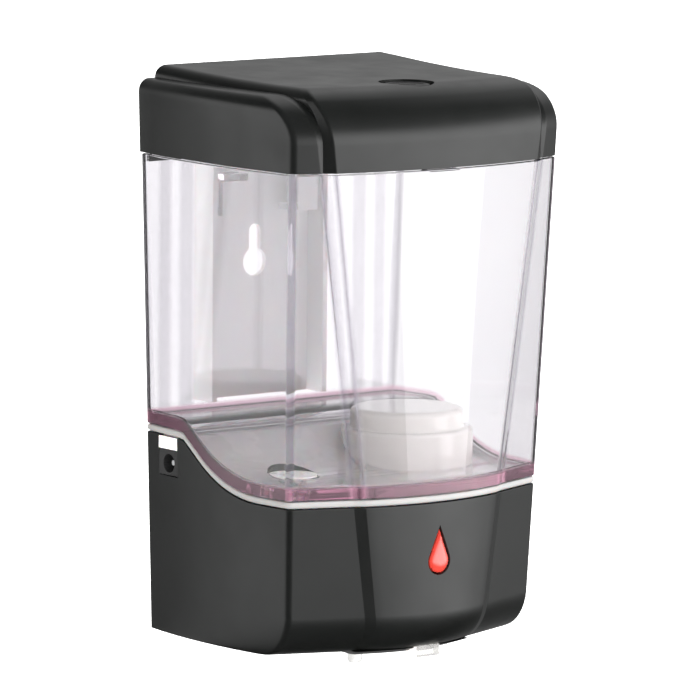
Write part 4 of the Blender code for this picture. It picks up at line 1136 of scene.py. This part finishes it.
class Sky:
    """Short calls for the world's node tree."""

    def __init__(self, tree):
        self.tree = tree
        self.direction = tree.nodes.new("ShaderNodeTexCoord").outputs["Generated"]

    def fade(self, source, start, end, low, high):
        node = self.tree.nodes.new("ShaderNodeMapRange")
        node.interpolation_type = "SMOOTHSTEP"
        for key, value in (("From Min", start), ("From Max", end), ("To Min", low), ("To Max", high)):
            node.inputs[key].default_value = value
        self.tree.links.new(source, node.inputs["Value"])
        return node.outputs["Result"]

    def facing(self, way):
        node = self.tree.nodes.new("ShaderNodeVectorMath")
        node.operation = "DOT_PRODUCT"
        node.inputs[1].default_value = way
        self.tree.links.new(self.direction, node.inputs[0])
        return node.outputs["Value"]

    def math(self, operation, first, second):
        node = self.tree.nodes.new("ShaderNodeMath")
        node.operation = operation
        self.tree.links.new(first, node.inputs[0])
        self.tree.links.new(second, node.inputs[1])
        return node.outputs["Value"]

    def choose(self, test, otherwise, chosen):
        node = self.tree.nodes.new("ShaderNodeMix")
        self.tree.links.new(test, node.inputs["Factor"])
        self.tree.links.new(otherwise, node.inputs["A"])
        self.tree.links.new(chosen, node.inputs["B"])
        return node.outputs["Result"]

    def constant(self, value):
        node = self.tree.nodes.new("ShaderNodeValue")
        node.outputs["Value"].default_value = value
        return node.outputs["Value"]


def make_world():
    """White studio.  Gloss sees lit panels, glass a white backdrop and dull surfaces a soft light."""
    world = bpy.data.worlds.new("studio")
    world.use_nodes = True
    sky = Sky(world.node_tree)
    left = sky.fade(sky.facing(LEFT_PANEL), 0.79, 0.985, 0.0, 1.65)
    right = sky.fade(sky.facing(RIGHT_PANEL), 0.50, 0.98, 0.02, 3.3)
    back = sky.fade(sky.facing(BACK_PANEL), 0.30, 0.98, 0.0, 0.45)
    height = sky.math("ABSOLUTE", sky.facing((0.0, 0.0, 1.0)), sky.constant(0.0))
    fronts = sky.math("MULTIPLY", sky.math("ADD", left, right), sky.fade(height, 0.12, 0.45, 1.0, 0.06))
    behind = sky.math("MULTIPLY", back, sky.fade(height, 0.20, 0.85, 1.0, 0.3))
    above = sky.fade(sky.facing(TOP_PANEL), 0.88, 0.99, 0.0, 0.6)
    gloss = sky.math("ADD", sky.math("ADD", fronts, behind), above)
    through = sky.fade(sky.facing(LIT_SIDE), 0.72, 0.97, 0.62, 1.0)
    white = sky.constant(1.0)
    soft = sky.fade(sky.facing(SOFT_LIGHT), -0.9, 0.7, 0.6, 3.6)
    path = world.node_tree.nodes.new("ShaderNodeLightPath")
    inner = sky.choose(path.outputs["Transmission Depth"], gloss, sky.constant(0.8))
    plain = sky.choose(path.outputs["Is Glossy Ray"], white, inner)
    direct = sky.choose(path.outputs["Is Transmission Ray"], plain, through)
    strength = sky.choose(path.outputs["Diffuse Depth"], direct, soft)
    background = world.node_tree.nodes["Background"]
    background.inputs["Color"].default_value = (1.0, 1.0, 1.0, 1.0)
    world.node_tree.links.new(strength, background.inputs["Strength"])
    bpy.context.scene.world = world


def soft_light(name, place_at, size, power):
    """Softbox aimed at the dispenser's middle.  Gloss doesn't see it."""
    data = bpy.data.lights.new(name, "AREA")
    data.shape = "RECTANGLE"
    data.size, data.size_y = size
    data.energy = power
    lamp = bpy.data.objects.new(name, data)
    lamp.location = place_at
    lamp.visible_glossy = False
    direction = LIGHT_AIM - Vector(place_at)
    lamp.rotation_euler = direction.to_track_quat("-Z", "Y").to_euler()
    bpy.context.scene.collection.objects.link(lamp)


def make_camera():
    """Long lens from the dispenser's left front and a little above, as in the photograph."""
    azimuth, elevation, roll = math.radians(-37.375), math.radians(7.687), math.radians(0.504)
    aim = Vector((0.0002, -0.0602, -0.0121))
    distance = 2.411
    back = Vector((math.sin(azimuth) * math.cos(elevation), -math.cos(azimuth) * math.cos(elevation),
                   math.sin(elevation)))
    data = bpy.data.cameras.new("camera")
    data.sensor_width = 36.0
    data.lens = 343.56
    data.clip_start = 0.1
    data.clip_end = 200.0
    camera = bpy.data.objects.new("camera", data)
    camera.location = aim + back * distance
    turn = (-back).to_track_quat("-Z", "Y").to_matrix() @ Matrix.Rotation(roll, 3, "Z")
    camera.rotation_euler = turn.to_euler()
    bpy.context.scene.collection.objects.link(camera)
    bpy.context.scene.camera = camera


make_floor()
make_world()
soft_light("key", (1.05, -1.45, 0.10), (0.85, 1.1), 9.0)
soft_light("top", (0.1, -0.5, 1.5), (0.9, 0.9), 7.0)
make_camera()

scene = bpy.context.scene
scene.view_settings.view_transform = "Standard"
scene.cycles.max_bounces = 24
scene.cycles.transmission_bounces = 20
scene.cycles.transparent_max_bounces = 16
scene.cycles.use_denoising = True
